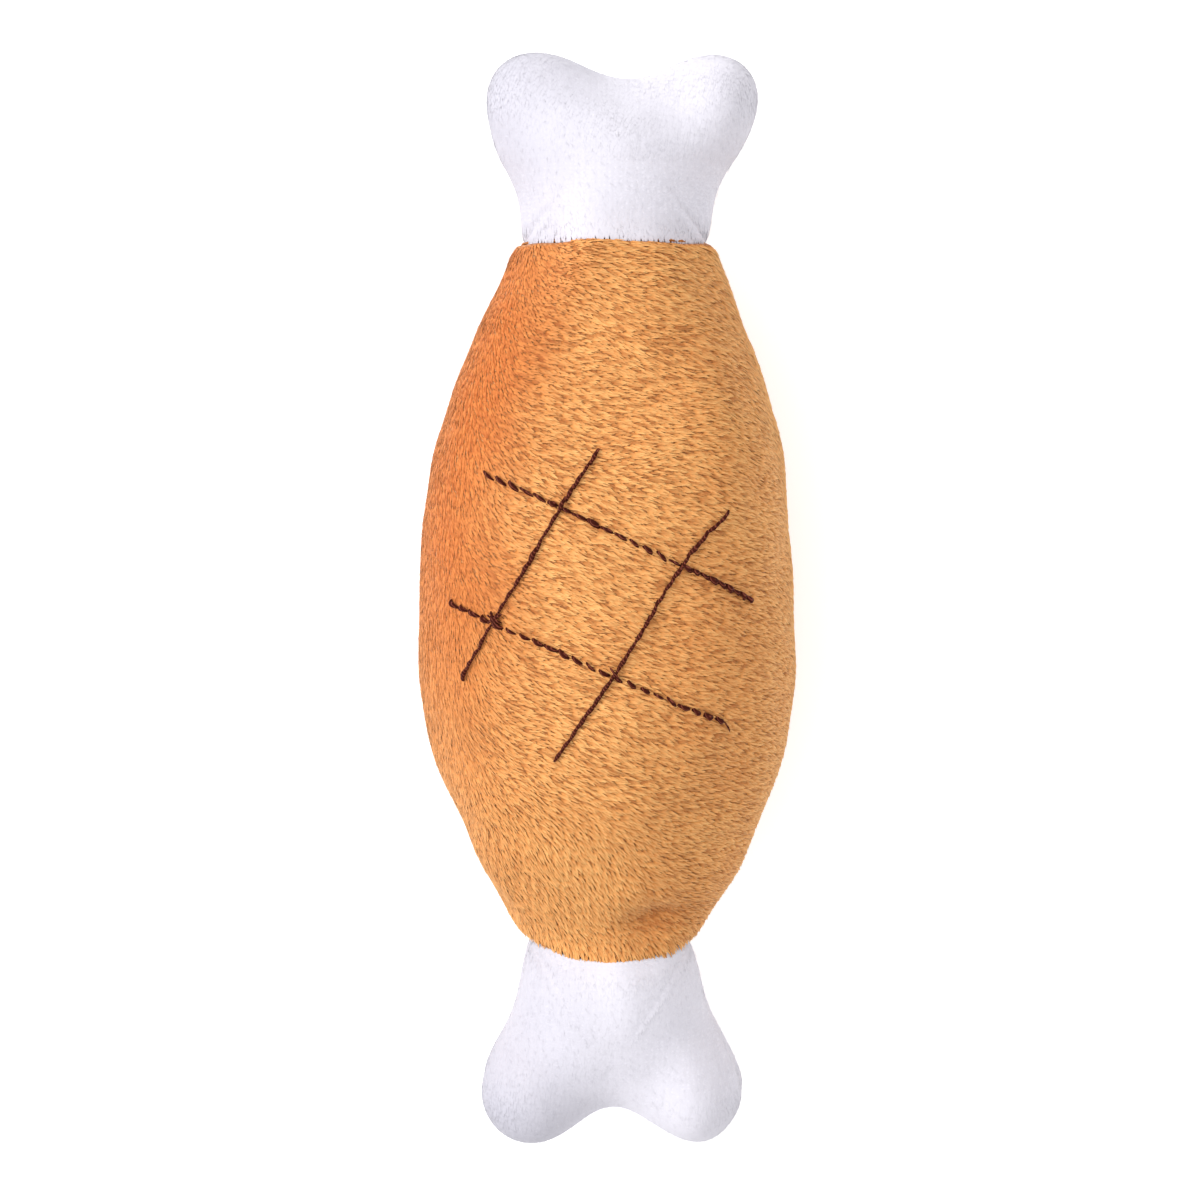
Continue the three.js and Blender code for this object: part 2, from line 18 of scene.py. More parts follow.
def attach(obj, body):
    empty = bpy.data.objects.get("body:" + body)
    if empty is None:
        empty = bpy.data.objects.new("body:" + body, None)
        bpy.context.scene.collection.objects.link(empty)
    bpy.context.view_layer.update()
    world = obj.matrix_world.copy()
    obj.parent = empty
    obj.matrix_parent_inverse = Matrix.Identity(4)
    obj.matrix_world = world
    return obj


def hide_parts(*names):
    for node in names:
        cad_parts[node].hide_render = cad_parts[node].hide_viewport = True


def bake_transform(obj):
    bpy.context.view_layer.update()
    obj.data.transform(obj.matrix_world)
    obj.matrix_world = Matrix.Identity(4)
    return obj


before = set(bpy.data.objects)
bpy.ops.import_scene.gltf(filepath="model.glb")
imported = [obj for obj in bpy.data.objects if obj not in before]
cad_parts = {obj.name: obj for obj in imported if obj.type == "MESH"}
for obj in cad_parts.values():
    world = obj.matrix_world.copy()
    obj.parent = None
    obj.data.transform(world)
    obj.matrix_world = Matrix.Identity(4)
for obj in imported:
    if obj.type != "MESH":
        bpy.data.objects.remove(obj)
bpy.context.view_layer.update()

mm = 0.001

# %% [markdown]
# ## The camera
#
# The toy was photographed from almost straight above its front, from a little towards the top end of the bone.
# A camera looks along its own -Z, so its three axes are written down directly. The usual "track to" helper would
# turn the picture upside down here, because it looks for world up, and up points at the lens.

# %% Place the camera
camera_target = Vector((-1.367, 1.969, 29.5))
camera_tilt = radians(6)
camera_distance = 400
backwards = Vector((0, sin(camera_tilt), cos(camera_tilt)))
upwards = Vector((0, cos(camera_tilt), -sin(camera_tilt)))
camera_data = bpy.data.cameras.new("camera")
camera_data.lens = 65.72
camera_data.sensor_width = 36
camera = bpy.data.objects.new("camera", camera_data)
turned = Matrix((Vector((1, 0, 0)), upwards, backwards)).transposed().to_4x4()
camera.matrix_world = Matrix.Translation((camera_target + camera_distance * backwards) * mm) @ turned
bpy.context.scene.collection.objects.link(camera)
bpy.context.scene.camera = camera
print("camera at", [round(x, 3) for x in camera.matrix_world.translation])

# %% [markdown]
# ## Floor and light
#
# A studio picture of a toy uses a white sweep and large soft boxes. The key light hangs to the upper left, so the
# right flank falls into a soft shade. A little light of the floor's own keeps the sweep white under the toy.

# %% Lay the floor and hang the lights
def plain_material(name, color, roughness):
    material = bpy.data.materials.new(name)
    material.use_nodes = True
    shader = material.node_tree.nodes["Principled BSDF"]
    shader.inputs["Base Color"].default_value = (*color, 1)
    shader.inputs["Roughness"].default_value = roughness
    return material, shader


def mesh_object(name, points, faces, material=None, edges=()):
    mesh = bpy.data.meshes.new(name)
    mesh.from_pydata(np.asarray(points, float) * mm, list(edges), [list(map(int, face)) for face in faces])
    mesh.update()
    mesh.shade_smooth()
    made = bpy.data.objects.new(name, mesh)
    bpy.context.scene.collection.objects.link(made)
    if material:
        mesh.materials.append(material)
    return made


def soft_box(name, place, width, power, aim=(0, 0, 30)):
    data = bpy.data.lights.new(name, "AREA")
    data.shape, data.size, data.energy = "DISK", width * mm, power
    lamp = bpy.data.objects.new(name, data)
    lamp.location = Vector(place) * mm
    lamp.rotation_euler = (Vector(aim) * mm - lamp.location).to_track_quat("-Z", "Y").to_euler()
    bpy.context.scene.collection.objects.link(lamp)


floor_reach = 3000
floor_material, floor_shader = plain_material("pale_floor", (0.9, 0.9, 0.9), 0.8)
floor_shader.inputs["Emission Color"].default_value = (1, 1, 1, 1)
floor_shader.inputs["Emission Strength"].default_value = 0.45
corners = [(-1, -1, 0), (1, -1, 0), (1, 1, 0), (-1, 1, 0)]
floor = mesh_object("floor", np.array(corners) * floor_reach, [(0, 1, 2, 3)], floor_material)
soft_box("key_light", (-660, 260, 640), 420, 5.4)
soft_box("top_light", (-60, 60, 1100), 900, 3.0)
world = bpy.data.worlds.new("studio")
world.use_nodes = True
world.node_tree.nodes["Background"].inputs["Color"].default_value = (1, 1, 1, 1)
world.node_tree.nodes["Background"].inputs["Strength"].default_value = 0.6
bpy.context.scene.world = world
bpy.context.scene.view_settings.view_transform = "Standard"
print("lights:", [thing.name for thing in bpy.data.lights])

# %% [markdown]
# ## The form of the body
#
# The stuffed body is a barrel: an ellipse at every height, widest at the belly, narrowing on a cosine to two sewn
# necks. The whole toy bends a little to one side. A modeller could push a subdivided box into this shape by eye,
# but a written rule gives the same shape to the cloth, the pile and the stitches, at any depth under the surface.

# %% Write the body's rule
half_length = 100
belly_y = 5.9
middle_z = 29.5
belly_half_width = 34.9
belly_half_depth = 30
body_half_length = 62.4
ends = {
    "top": dict(
        side=1, seam_y=66, bow=0.3, power=1.05, half_width=18.2, half_depth=16.4, lean=2.7,
        reach=34, lobe_offset=16.2, lobe_radius=7.7, lobe_half_depth=11.6, tip_swell=0.85, neck_tuck=0.5,
        neck_end=22.3, end_round=8.1, lobe_web=30, neck_web=15.7, heart=0.56,
    ),
    "bottom": dict(
        side=-1, seam_y=-58.8, bow=2.3, power=1.38, half_width=17.4, half_depth=15.8, lean=1.07,
        reach=41.2, lobe_offset=15.4, lobe_radius=8.8, lobe_half_depth=12.4, tip_swell=0.6, neck_tuck=2.2,
        neck_end=19.2, end_round=14.3, lobe_web=17.8, neck_web=30, heart=0.52,
    ),
}


def by_end(y, key, split=belly_y):
    return np.where(y > split, ends["top"][key], ends["bottom"][key])


def lean(y):
    return by_end(y, "lean", 0) * (y / half_length) ** 2


def taper(y):
    share = np.clip((y - belly_y) / (by_end(y, "seam_y") - belly_y), 0, 1)
    swell = np.cos(pi / 2 * share ** by_end(y, "power"))
    neck_width, neck_depth = by_end(y, "half_width"), by_end(y, "half_depth")
    return neck_width + (belly_half_width - neck_width) * swell, neck_depth + (belly_half_depth - neck_depth) * swell


def body_point(y, angle, inset):
    half_width, half_depth = taper(y)
    x = lean(y) + (half_width - inset) * np.cos(angle)
    return np.stack([x, y + 0 * x, middle_z + (half_depth - inset) * np.sin(angle)], -1)


print("belly:", 2 * belly_half_width, "x", 2 * belly_half_depth, "mm")

# %% [markdown]
# ## The form of the bone ends
#
# A bone end is two lobes and a neck that melt into each other. The rule gives how far a point lies outside this
# form: the nearest of the three shapes, with a soft web where two are equally near. Rays sent from the heart of
# the bone end then find the surface by halving, all at once, as arrays.

# %% Write the bone's rule
def melt(a, b, web):
    near = np.maximum(web - np.abs(a - b), 0) / web
    return np.minimum(a, b) - near * near * web / 4


def outside_lobe(x, along, z, end):
    radii = (end["lobe_radius"], end["lobe_radius"], end["lobe_half_depth"])
    scaled = np.stack([x / radii[0], along / radii[1], z / radii[2]])
    share = np.sqrt((scaled ** 2).sum(0))
    steep = np.sqrt(((scaled / np.reshape(radii, (3,) + (1,) * (scaled.ndim - 1))) ** 2).sum(0))
    return share * (share - 1) / np.maximum(steep, 1e-9)


def outside_bone(x, along, z, end):
    lobe_at = end["reach"] - end["lobe_radius"] - end["tip_swell"]
    right = outside_lobe(x - end["lobe_offset"], along - lobe_at, z, end)
    left = outside_lobe(x + end["lobe_offset"], along - lobe_at, z, end)
    neck_radius = end["half_width"] - end["neck_tuck"]
    across = np.hypot(x, z * neck_radius / end["half_depth"]) - (neck_radius - end["end_round"])
    beyond = along - (end["neck_end"] - end["end_round"])
    neck = np.minimum(np.maximum(across, beyond), 0) + np.hypot(np.maximum(across, 0), np.maximum(beyond, 0))
    return melt(melt(right, left, end["lobe_web"]), neck - end["end_round"], end["neck_web"])


def steepness(place, end, feel=0.01):
    """How fast the form's value grows with distance; it is below 1 in the soft webs."""
    value = outside_bone(*place, end)
    grown = [outside_bone(*(place + feel * np.reshape(way, (3,) + (1,) * (place.ndim - 1))), end) for way in np.eye(3)]
    return np.sqrt(sum(((g - value) / feel) ** 2 for g in grown))


halvings, past_seam = 26, 12


def bone_ray(end, turn, rise, inset):
    """Local x, distance from the seam and z where a ray meets the form; turn 0 points to the tip."""
    heart = np.reshape((0, end["reach"] * end["heart"], 0), (3,) + (1,) * np.ndim(turn + rise))
    way = np.stack([np.cos(rise) * np.sin(turn), np.cos(rise) * np.cos(turn), np.sin(rise) + 0 * turn])
    depth = 0
    for wanted in (0, inset) if inset else (0,):
        near, far = np.zeros(way.shape[1:]), np.full(way.shape[1:], 2.0 * end["reach"])
        back = way[1] < 0
        far[back] = np.minimum(far[back], (end["reach"] * end["heart"] + past_seam) / -way[1][back])
        if wanted:
            depth = wanted * steepness(place, end)
        for _ in range(halvings):
            trial = (near + far) / 2
            inside = outside_bone(*(heart + way * trial), end) + depth < 0
            near, far = np.where(inside, trial, near), np.where(inside, far, trial)
        place = heart + way * far
    return place


def bone_point(end, turn, rise, inset):
    x, along, z = bone_ray(end, turn, rise, inset)
    y = end["seam_y"] + end["side"] * along
    return np.stack([lean(y) + x, y, middle_z + z], -1)


tip = bone_point(ends["top"], np.zeros(1), np.zeros(1), 0)[0]
print("valley of the top bone end at", tip.round(1))

# %% [markdown]
# ## Soft dents and gathered seams
#
# Stuffed cloth is never as smooth as a rule. Each seam pulls the cloth in, the necks gather it into shallow folds,
# and the stuffing leaves soft lumps. These are added as one more depth under the surface. Sums of a few waves with
# a fixed seed give soft lumps of a chosen width without any picture.

# %% Write the dents
def waves(seed, width, stretch=(1, 1, 1), count=14):
    chance = np.random.default_rng(seed)
    ways = chance.normal(size=(count, 3))
    ways *= 2 * pi / width / np.linalg.norm(ways, axis=1)[:, None] / np.array(stretch)
    shifts = chance.uniform(0, 2 * pi, count)
    return lambda places: np.sin(places @ ways.T + shifts).sum(-1) / np.sqrt(count / 2)


lumps = waves(3, 34)
small_lumps = waves(5, 13)
folds = waves(8, 9, (1, 4, 1))
seam_pull, neck_pull, seam_reach = 0.75, 0.25, 1.9
fold_depth, fold_reach = 0.3, 9
press_place, press_depth, press_reach = np.array([9, -53.8, 44]), 2.6, np.array([7, 3.2, 8])


def neck_line(end, x, y):
    return end["seam_y"] + end["side"] * end["bow"] * (1 - np.minimum(((x - lean(y)) / end["half_width"]) ** 2, 1))


def eased(share):
    """0 below 0, 1 above 1, and a soft change between them."""
    share = np.clip(share, 0, 1)
    return share * share * (3 - 2 * share)


def neck_gap(end, places):
    """How far a place lies from a neck seam, along the toy."""
    return np.abs(places[..., 1] - neck_line(end, places[..., 0], places[..., 1]))


def nearest_neck(places):
    return np.minimum(*(neck_gap(end, places) for end in ends.values()))


def pressed(places):
    """The one deep dimple, right of the middle just above the bottom neck."""
    return np.exp(-(((places - press_place) / press_reach) ** 2).sum(-1))


def dent(places):
    near_side = seam_pull * np.exp(-((places[..., 2] - middle_z) / seam_reach) ** 2)
    near_neck, gathers = 0, 0
    for end in ends.values():
        gap = neck_gap(end, places)
        near_neck = near_neck + neck_pull * np.exp(-(gap / seam_reach) ** 2)
        gathers = gathers + fold_depth * np.exp(-gap / fold_reach) * folds(places)
    soft = 0.4 * lumps(places) + 0.12 * small_lumps(places)
    return np.maximum(near_side, near_neck) + gathers + press_depth * pressed(places) + soft


print("deepest pull at a seam:", seam_pull, "mm")

# %% [markdown]
# ## Cloth panels
#
# Each panel is a sheet of knitted cloth under the pile. The sheet stops just short of its seams, rolls over and
# runs inwards as a seam allowance, as it does when a toy is sewn inside out and turned. The sheet is laid out as a
# grid on the rule, its rim is rolled row by row, and Solidify gives it its thickness.

# %% Lay out the sheets
ground_inset = 0.5
cloth_thickness = 0.45
roll_radius = 0.5
seam_gap = 0.05
allowance = 3.2
edge_setback = roll_radius + seam_gap


def grid_quads(columns, rows):
    number = np.arange(columns * rows).reshape(columns, rows)
    return np.stack([number[:-1, :-1], number[:-1, 1:], number[1:, 1:], number[1:, :-1]], -1).reshape(-1, 4)


def body_sheet(facing, columns=56, rows=60):
    across, along = np.meshgrid(np.linspace(0, 1, columns), np.linspace(0, 1, rows), indexing="ij")
    angle = pi * across
    for _ in range(4):
        bow = np.sin(angle) ** 2
        low = ends["bottom"]["seam_y"] - ends["bottom"]["bow"] * bow + edge_setback
        high = ends["top"]["seam_y"] + ends["top"]["bow"] * bow - edge_setback
        y = low + (high - low) * along
        first = np.arcsin(edge_setback / (taper(y)[1] - ground_inset))
        angle = first + (pi - 2 * first) * across
    places = body_point(y, facing * angle, ground_inset)
    number = np.arange(columns * rows).reshape(columns, rows)
    rim = np.concatenate([number[:, 0], number[-1, 1:], number[-2::-1, -1], number[0, -2:0:-1]])
    return places.reshape(-1, 3), grid_quads(columns, rows)[:, ::facing], rim


def solve(low, high, too_low):
    for _ in range(halvings):
        trial = (low + high) / 2
        down = too_low(trial)
        low, high = np.where(down, trial, low), np.where(down, high, trial)
    return (low + high) / 2


def bone_sheet(end, facing, around_lobes=72, around_neck=36, rings=24):
    def rim_rise(turn):
        rise = np.full_like(turn, 0.05)
        for _ in range(8):
            x, along, z = bone_ray(end, turn, rise, ground_inset)
            reach = np.sqrt(x ** 2 + (along - end["reach"] * end["heart"]) ** 2 + z ** 2)
            rise = np.arcsin(np.minimum(edge_setback / reach, 1))
        return rise

    def beyond_neck(turn, rise):
        x, along, _ = bone_ray(end, turn, rise, ground_inset)
        return along - end["bow"] * (1 - np.minimum((x / end["half_width"]) ** 2, 1)) - edge_setback

    corner = solve(np.array([pi / 2]), np.array([pi]), lambda turn: beyond_neck(turn, rim_rise(turn)) > 0)[0]
    lobes = np.linspace(-corner, corner, around_lobes, endpoint=False)
    neck = np.linspace(corner, 2 * pi - corner, around_neck, endpoint=False)
    last = np.concatenate([
        rim_rise(lobes),
        solve(rim_rise(neck) * 0, np.full_like(neck, pi / 2), lambda rise: beyond_neck(neck, rise) < 0),
    ])
    turn = np.concatenate([lobes, neck])
    share = np.linspace(0, 1, rings + 1)[1:, None] ** 0.9
    rise = pi / 2 + (last - pi / 2) * share
    turn = turn + 0 * rise
    places = bone_point(end, turn, facing * rise, ground_inset)
    peak = places[0].mean(0)
    columns = turn.shape[1]
    number = 1 + np.arange(rings * columns).reshape(rings, columns)
    after = np.roll(number, -1, axis=1)
    quads = np.stack([number[:-1], number[1:], after[1:], after[:-1]], -1).reshape(-1, 4)
    hand = -facing * end["side"]
    faces = [(0, a, b)[::hand] for a, b in zip(number[0], after[0])] + [tuple(q)[::hand] for q in quads]
    return np.vstack([peak, places.reshape(-1, 3)]), faces, number[-1]


def ring_quads(rows, sides, first=0):
    """Faces between rings of points that follow one another."""
    faces = []
    for i in range(rows):
        a, b = first + i * sides, first + (i + 1) * sides
        faces += [(a + j, a + (j + 1) % sides, b + (j + 1) % sides, b + j) for j in range(sides)]
    return faces


def unit(vectors):
    return vectors / np.maximum(np.linalg.norm(vectors, axis=-1, keepdims=True), 1e-12)


def read(items, key, width=3):
    values = np.empty(width * len(items), np.float32)
    items.foreach_get(key, values)
    return values.reshape(-1, width).astype(float)


def points_of(mesh):
    return read(mesh.vertices, "co") / mm


def move_points(mesh, places):
    mesh.vertices.foreach_set("co", (places * mm).astype(np.float32).ravel())
    mesh.update()


def normals_of(mesh):
    return read(mesh.vertex_normals, "vector")


def store(mesh, label, values):
    """Give every vertex a number or a vector that a geometry tree or a material can look up."""
    values = np.asarray(values, np.float32)
    kind, key = ("FLOAT_VECTOR", "vector") if values.ndim == 2 else ("FLOAT", "value")
    mesh.attributes.new(label, kind, "POINT").data.foreach_set(key, values.ravel())


def faces_of(mesh):
    return [tuple(face.vertices) for face in mesh.polygons]


def drop(thing):
    data = thing.data
    bpy.data.objects.remove(thing)
    bpy.data.meshes.remove(data)


def final_mesh(thing):
    """The mesh that an object's modifiers make; the object itself is then no longer needed."""
    bpy.context.view_layer.update()
    mesh = bpy.data.meshes.new_from_object(thing.evaluated_get(bpy.context.evaluated_depsgraph_get()))
    drop(thing)
    return mesh


def shown(name, mesh, material=None):
    """A finished piece: its mesh and its object have the same name, and the object stands at the origin."""
    mesh.name = name
    mesh.shade_smooth()
    if material:
        mesh.materials.clear()
        mesh.materials.append(material)
    made = bpy.data.objects.new(name, mesh)
    bpy.context.scene.collection.objects.link(made)
    return made


sheets = {"body_front": body_sheet(1), "body_back": body_sheet(-1)}
for end_name, end in ends.items():
    sheets[f"{end_name}_bone_front"] = bone_sheet(end, 1)
    sheets[f"{end_name}_bone_back"] = bone_sheet(end, -1)
for name, (points, faces, rim) in sheets.items():
    print(name, len(points), "nodes,", len(rim), "on the rim")

# %% [markdown]
# ## Stuffing
#
# Fibre presses from inside and the seams hold the cloth back, so each panel bulges and strains from its rim.
# Blender's Cloth does this: the rim is pinned, a pressure acts on the inside and gravity is off. Cloth behaves best
# at the size of a cushion, so the sheet is tried ten times as large. So short a simulation leaves ripples, so the
# swell is averaged over neighbouring points, and what still moves too far is held back: the toy keeps its outline.

# %% Stuff the panels
trial_scale = 10
most_swell = 1.2
stuffing_frames = 20
table_lift = 0.05
bone_neck_dip, bone_dip_reach = 0.35, 3
smoothing_rounds = 8


def stuffed(name, points, faces, rim):
    pad = mesh_object(name, np.asarray(points) * trial_scale, faces)
    start = points_of(pad.data)
    held = pad.vertex_groups.new(name="held")
    held.add([int(i) for i in rim], 1, "REPLACE")
    cloth = pad.modifiers.new("stuffing", "CLOTH").settings
    cloth.vertex_group_mass = "held"
    cloth.quality = 6
    cloth.mass = 0.1
    cloth.use_pressure = True
    cloth.uniform_pressure_force = 4
    cloth.shrink_min = -0.012
    cloth.effector_weights.gravity = 0
    for frame_number in range(1, stuffing_frames + 1):
        bpy.context.scene.frame_set(frame_number)
    links = np.array([edge.vertices[:] for edge in pad.data.edges])
    moved = (points_of(final_mesh(pad)) - start) / trial_scale
    bpy.context.scene.frame_set(1)
    for _ in range(smoothing_rounds):
        total, count = np.zeros_like(moved), np.zeros((len(moved), 1))
        for a, b in (links.T, links.T[::-1]):
            np.add.at(total, a, moved[b])
            np.add.at(count, a, 1)
        moved = total / count
        moved[rim] = 0
    far = np.linalg.norm(moved, axis=1, keepdims=True)
    moved *= np.minimum(1, most_swell / np.maximum(far, 1e-9))
    print(name, "swells", far.mean().round(2), "mm, at most", far.max().round(2))
    return points + moved


def fine_sheet(name, points, faces, rim):
    """The stuffed sheet, subdivided, then drawn in along its seams; its rim comes back in order."""
    coarse = mesh_object(name, stuffed(name, points, faces, rim), faces)
    softened = coarse.modifiers.new("soft", "SUBSURF")
    softened.levels = softened.render_levels = 1
    softened.boundary_smooth = "PRESERVE_CORNERS"
    mesh = final_mesh(coarse)
    places, normals = points_of(mesh), normals_of(mesh)
    depth = dent(places)
    if "bone" in name:
        end = ends[name.split("_")[0]]
        depth = depth + bone_neck_dip * np.exp(-(neck_gap(end, places) / bone_dip_reach) ** 2)
    places -= depth[:, None] * normals
    places[:, 2] = np.maximum(places[:, 2], table_lift)
    return places, faces_of(mesh), edge_loop(mesh)


def edge_loop(mesh):
    """The vertices along the open rim of a sheet, in order."""
    uses = {}
    for face in mesh.polygons:
        for key in face.edge_keys:
            uses[key] = uses.get(key, 0) + 1
    beside = {}
    for (a, b), count in uses.items():
        if count == 1:
            beside.setdefault(a, []).append(b)
            beside.setdefault(b, []).append(a)
    first = min(beside)
    loop, last, here = [first], first, beside[first][0]
    while here != first:
        loop.append(here)
        a, b = beside[here]
        last, here = here, (b if a == last else a)
    return np.array(loop)


stuffed_sheets = {name: fine_sheet(name, *sheet) for name, sheet in sheets.items()}

# %% [markdown]
# ## Rolled seams and the thickness of the cloth
#
# The rim of each sheet is rolled over a small radius and turned in. At a corner the row moves out along the
# mitre, as folded cloth does. Solidify then thickens the whole sheet towards its inside.

# %% Roll the rims and thicken the cloth
def rolled(points, faces, rim, profile):
    trial = mesh_object("trial", points, faces)
    normals = normals_of(trial.data)[rim]
    drop(trial)
    at = points[rim]
    sides = np.cross(unit(np.roll(at, -1, 0) - at), normals)
    if (sides * (at - points.mean(0))).sum() < 0:
        return rolled(points, faces, rim[::-1], profile)
    before = np.roll(sides, 1, 0)
    outwards = (sides + before) / (1 + (sides * before).sum(-1, keepdims=True))
    count, rows, last = len(rim), [points], rim
    faces = list(faces)
    for out, down in profile:
        new = len(points) + count * (len(rows) - 1) + np.arange(count)
        rows.append(at + out * outwards - down * normals)
        faces += [(last[(i + 1) % count], last[i], new[i], new[(i + 1) % count]) for i in range(count)]
        last = new
    return np.vstack(rows), faces


roll = [(roll_radius * sin(radians(a)), roll_radius * (1 - cos(radians(a)))) for a in (25, 50, 75, 90)]
turned_in = [(roll_radius, roll_radius + allowance * share) for share in (0.33, 0.67, 1)]
cloths = {}
for name, (points, faces, rim) in stuffed_sheets.items():
    cloth = mesh_object(f"{name}_cloth", *rolled(points, faces, rim, roll + turned_in))
    wall = cloth.modifiers.new("thickness", "SOLIDIFY")
    wall.thickness, wall.offset = cloth_thickness * mm, -1
    mesh = final_mesh(cloth)
    cloths[name] = shown(f"{name}_cloth", mesh)
    low, high = points_of(mesh).min(0).round(1), points_of(mesh).max(0).round(1)
    print(name, "cloth from", low, "to", high, "faces:", len(mesh.polygons))

# %% [markdown]
# ## Building shader and geometry trees
#
# Blender keeps a material and a geometry tree in the same way: nodes, sockets and links. Two small helpers keep the
# trees below short. One adds a node with its settings and inputs, and the other starts a named group.

# %% Write the tree helpers
def add(tree, kind, inputs=None, **settings):
    node = tree.nodes.new(kind)
    for key, value in settings.items():
        setattr(node, key, value)
    for key, value in (inputs or {}).items():
        socket = node.inputs[key]
        if isinstance(value, bpy.types.NodeSocket):
            tree.links.new(value, socket)
        else:
            socket.default_value = value
    return node


def start_group(name, kind, inputs, outputs):
    tree = bpy.data.node_groups.new(name, kind)
    for direction, sockets in (("INPUT", inputs), ("OUTPUT", outputs)):
        for label, (socket_type, value) in sockets.items():
            socket = tree.interface.new_socket(label, in_out=direction, socket_type="NodeSocket" + socket_type)
            if value is not None:
                socket.default_value = value
    return tree, tree.nodes.new("NodeGroupInput"), tree.nodes.new("NodeGroupOutput")


def math(tree, operation, a, b=0.0, c=0.0):
    return add(tree, "ShaderNodeMath", {0: a, 1: b, 2: c}, operation=operation).outputs[0]


def mix(tree, share, a, b, blend="MIX"):
    return add(tree, "ShaderNodeMix", {0: share, 6: a, 7: b}, data_type="RGBA", blend_type=blend).outputs[2]


def spread(tree, value, low, high, to_low=0.0, to_high=1.0):
    settings = {"Value": value, "From Min": low, "From Max": high, "To Min": to_low, "To Max": to_high}
    return add(tree, "ShaderNodeMapRange", settings, interpolation_type="SMOOTHSTEP").outputs["Result"]


def object_place(tree):
    return add(tree, "ShaderNodeTexCoord").outputs["Object"]


def named(tree, label, kind="FLOAT_VECTOR"):
    return add(tree, "GeometryNodeInputNamedAttribute", {"Name": label}, data_type=kind).outputs[0]


def facing(tree, up, along, turn):
    """The rotation that stands a shape up on a surface, lays it along a direction and then turns it by small angles."""
    upright = add(tree, "FunctionNodeAxesToRotation", {"Primary Axis": up, "Secondary Axis": along},
                  primary_axis="Z", secondary_axis="X").outputs[0]
    by = add(tree, "FunctionNodeEulerToRotation", {0: turn}).outputs[0]
    return add(tree, "FunctionNodeRotateRotation", {"Rotation": upright, "Rotate By": by},
               rotation_space="LOCAL").outputs[0]


def finish_tree(tree, instances, material, result):
    """Instances become real faces and get their material, because an export keeps only real faces."""
    real = add(tree, "GeometryNodeRealizeInstances", {"Geometry": instances}).outputs[0]
    painted = add(tree, "GeometryNodeSetMaterial", {"Geometry": real, "Material": material}).outputs[0]
    tree.links.new(painted, result.inputs[0])


def color(red, green, blue):
    """A colour as a maker reads it off a chart, turned into the linear values that shaders use."""
    return tuple((c / 255 / 12.92 if c < 10 else ((c / 255 + 0.055) / 1.055) ** 2.4) for c in (red, green, blue)) + (1,)


print("tan on a chart is", [round(c, 3) for c in color(220, 151, 96)], "in linear light")

# %% [markdown]
# ## The look of short pile
#
# Plush shows three colours at once: deep shade between the locks, painted onto the roots, the dyed fibre, and pale
# tips, a painted highlight where they catch the light. The nap also lies differently from patch to patch, so a broad
# patch reads deeper or paler. All along the left side, where the nap leans away from the light, a deeper colour is
# painted on as shade. The group below makes this from the place and from two values that every lock carries: how far
# up the fibre a point is, and how bright the lock is. The tan and the white plush both use it with their own
# colours.

# %% Build the pile group and the plush materials
def pile_group():
    tree, given, result = start_group("pile_tone", "ShaderNodeTree", {
        "Root": ("Color", (0.2, 0.08, 0.03, 1)), "Fibre": ("Color", (0.7, 0.3, 0.1, 1)),
        "Tip": ("Color", (0.9, 0.5, 0.25, 1)), "Deep": ("Color", (0.7, 0.22, 0.05, 1)),
        "Lock Contrast": ("Float", 0.25), "Warmth": ("Float", 1.0), "Patch Size": ("Float", 60.0),
        "Painted Shade Side": ("Float", 0.0), "Side End": ("Float", 0.004), "Low Share": ("Float", 0.35),
        "Top Reach": ("Float", 0.0), "Deep Root": ("Float", 0.5),
    }, {"Color": ("Color", None), "Roughness": ("Float", None)})
    place = object_place(tree)
    rise = add(tree, "ShaderNodeAttribute", attribute_name="rise").outputs["Fac"]
    shade = add(tree, "ShaderNodeAttribute", attribute_name="shade").outputs["Fac"]
    patch = add(tree, "ShaderNodeTexNoise", {"Vector": place, "Scale": given.outputs["Patch Size"], "Detail": 3.0})
    # Painted shade at the roots and a painted highlight at the tips, along each lock's rise.
    fibre = mix(tree, spread(tree, rise, 0.1, 0.6), given.outputs["Root"], given.outputs["Fibre"])
    fibre = mix(tree, spread(tree, rise, 0.5, 1.0), fibre, given.outputs["Tip"])
    parts = add(tree, "ShaderNodeSeparateXYZ", {"Vector": place}).outputs
    # The left side, reaching higher at the top and weaker low down, gets painted shade in the Deep colour.
    wander = math(tree, "MULTIPLY_ADD", patch.outputs["Fac"], 0.02, parts["X"])
    higher = math(tree, "MULTIPLY", spread(tree, parts["Y"], 0.015, 0.055), given.outputs["Top Reach"])
    wander = math(tree, "SUBTRACT", wander, higher)
    lower = spread(tree, parts["Y"], -0.045, 0.015, given.outputs["Low Share"], 1.0)
    left = math(tree, "MULTIPLY", spread(tree, wander, -0.02, given.outputs["Side End"], 1.0, 0.0), lower)
    left = math(tree, "MULTIPLY", left, given.outputs["Painted Shade Side"])
    cloudy = spread(tree, patch.outputs["Fac"], 0.3, 0.7, 0.0, 0.2)
    deep = math(tree, "MAXIMUM", left, cloudy)
    deep = math(tree, "MULTIPLY", deep, spread(tree, rise, 0.0, 1.0, given.outputs["Deep Root"], 1.0))
    toned = mix(tree, deep, fibre, given.outputs["Deep"])
    # Each lock's brightness holds its random tone and the painted shade of partings and the dimple; darker marks turn
    # warmer.
    bright = math(tree, "MULTIPLY_ADD", math(tree, "SUBTRACT", shade, 0.5), given.outputs["Lock Contrast"], 1.0)
    grey = add(tree, "ShaderNodeCombineColor", {
        0: bright, 1: math(tree, "POWER", bright, given.outputs["Warmth"]),
        2: math(tree, "POWER", bright, math(tree, "MULTIPLY", given.outputs["Warmth"], 1.3)),
    }).outputs[0]
    tree.links.new(mix(tree, 1.0, toned, grey, "MULTIPLY"), result.inputs["Color"])
    tree.links.new(spread(tree, rise, 0.0, 1.0, 0.95, 0.75), result.inputs["Roughness"])
    return tree


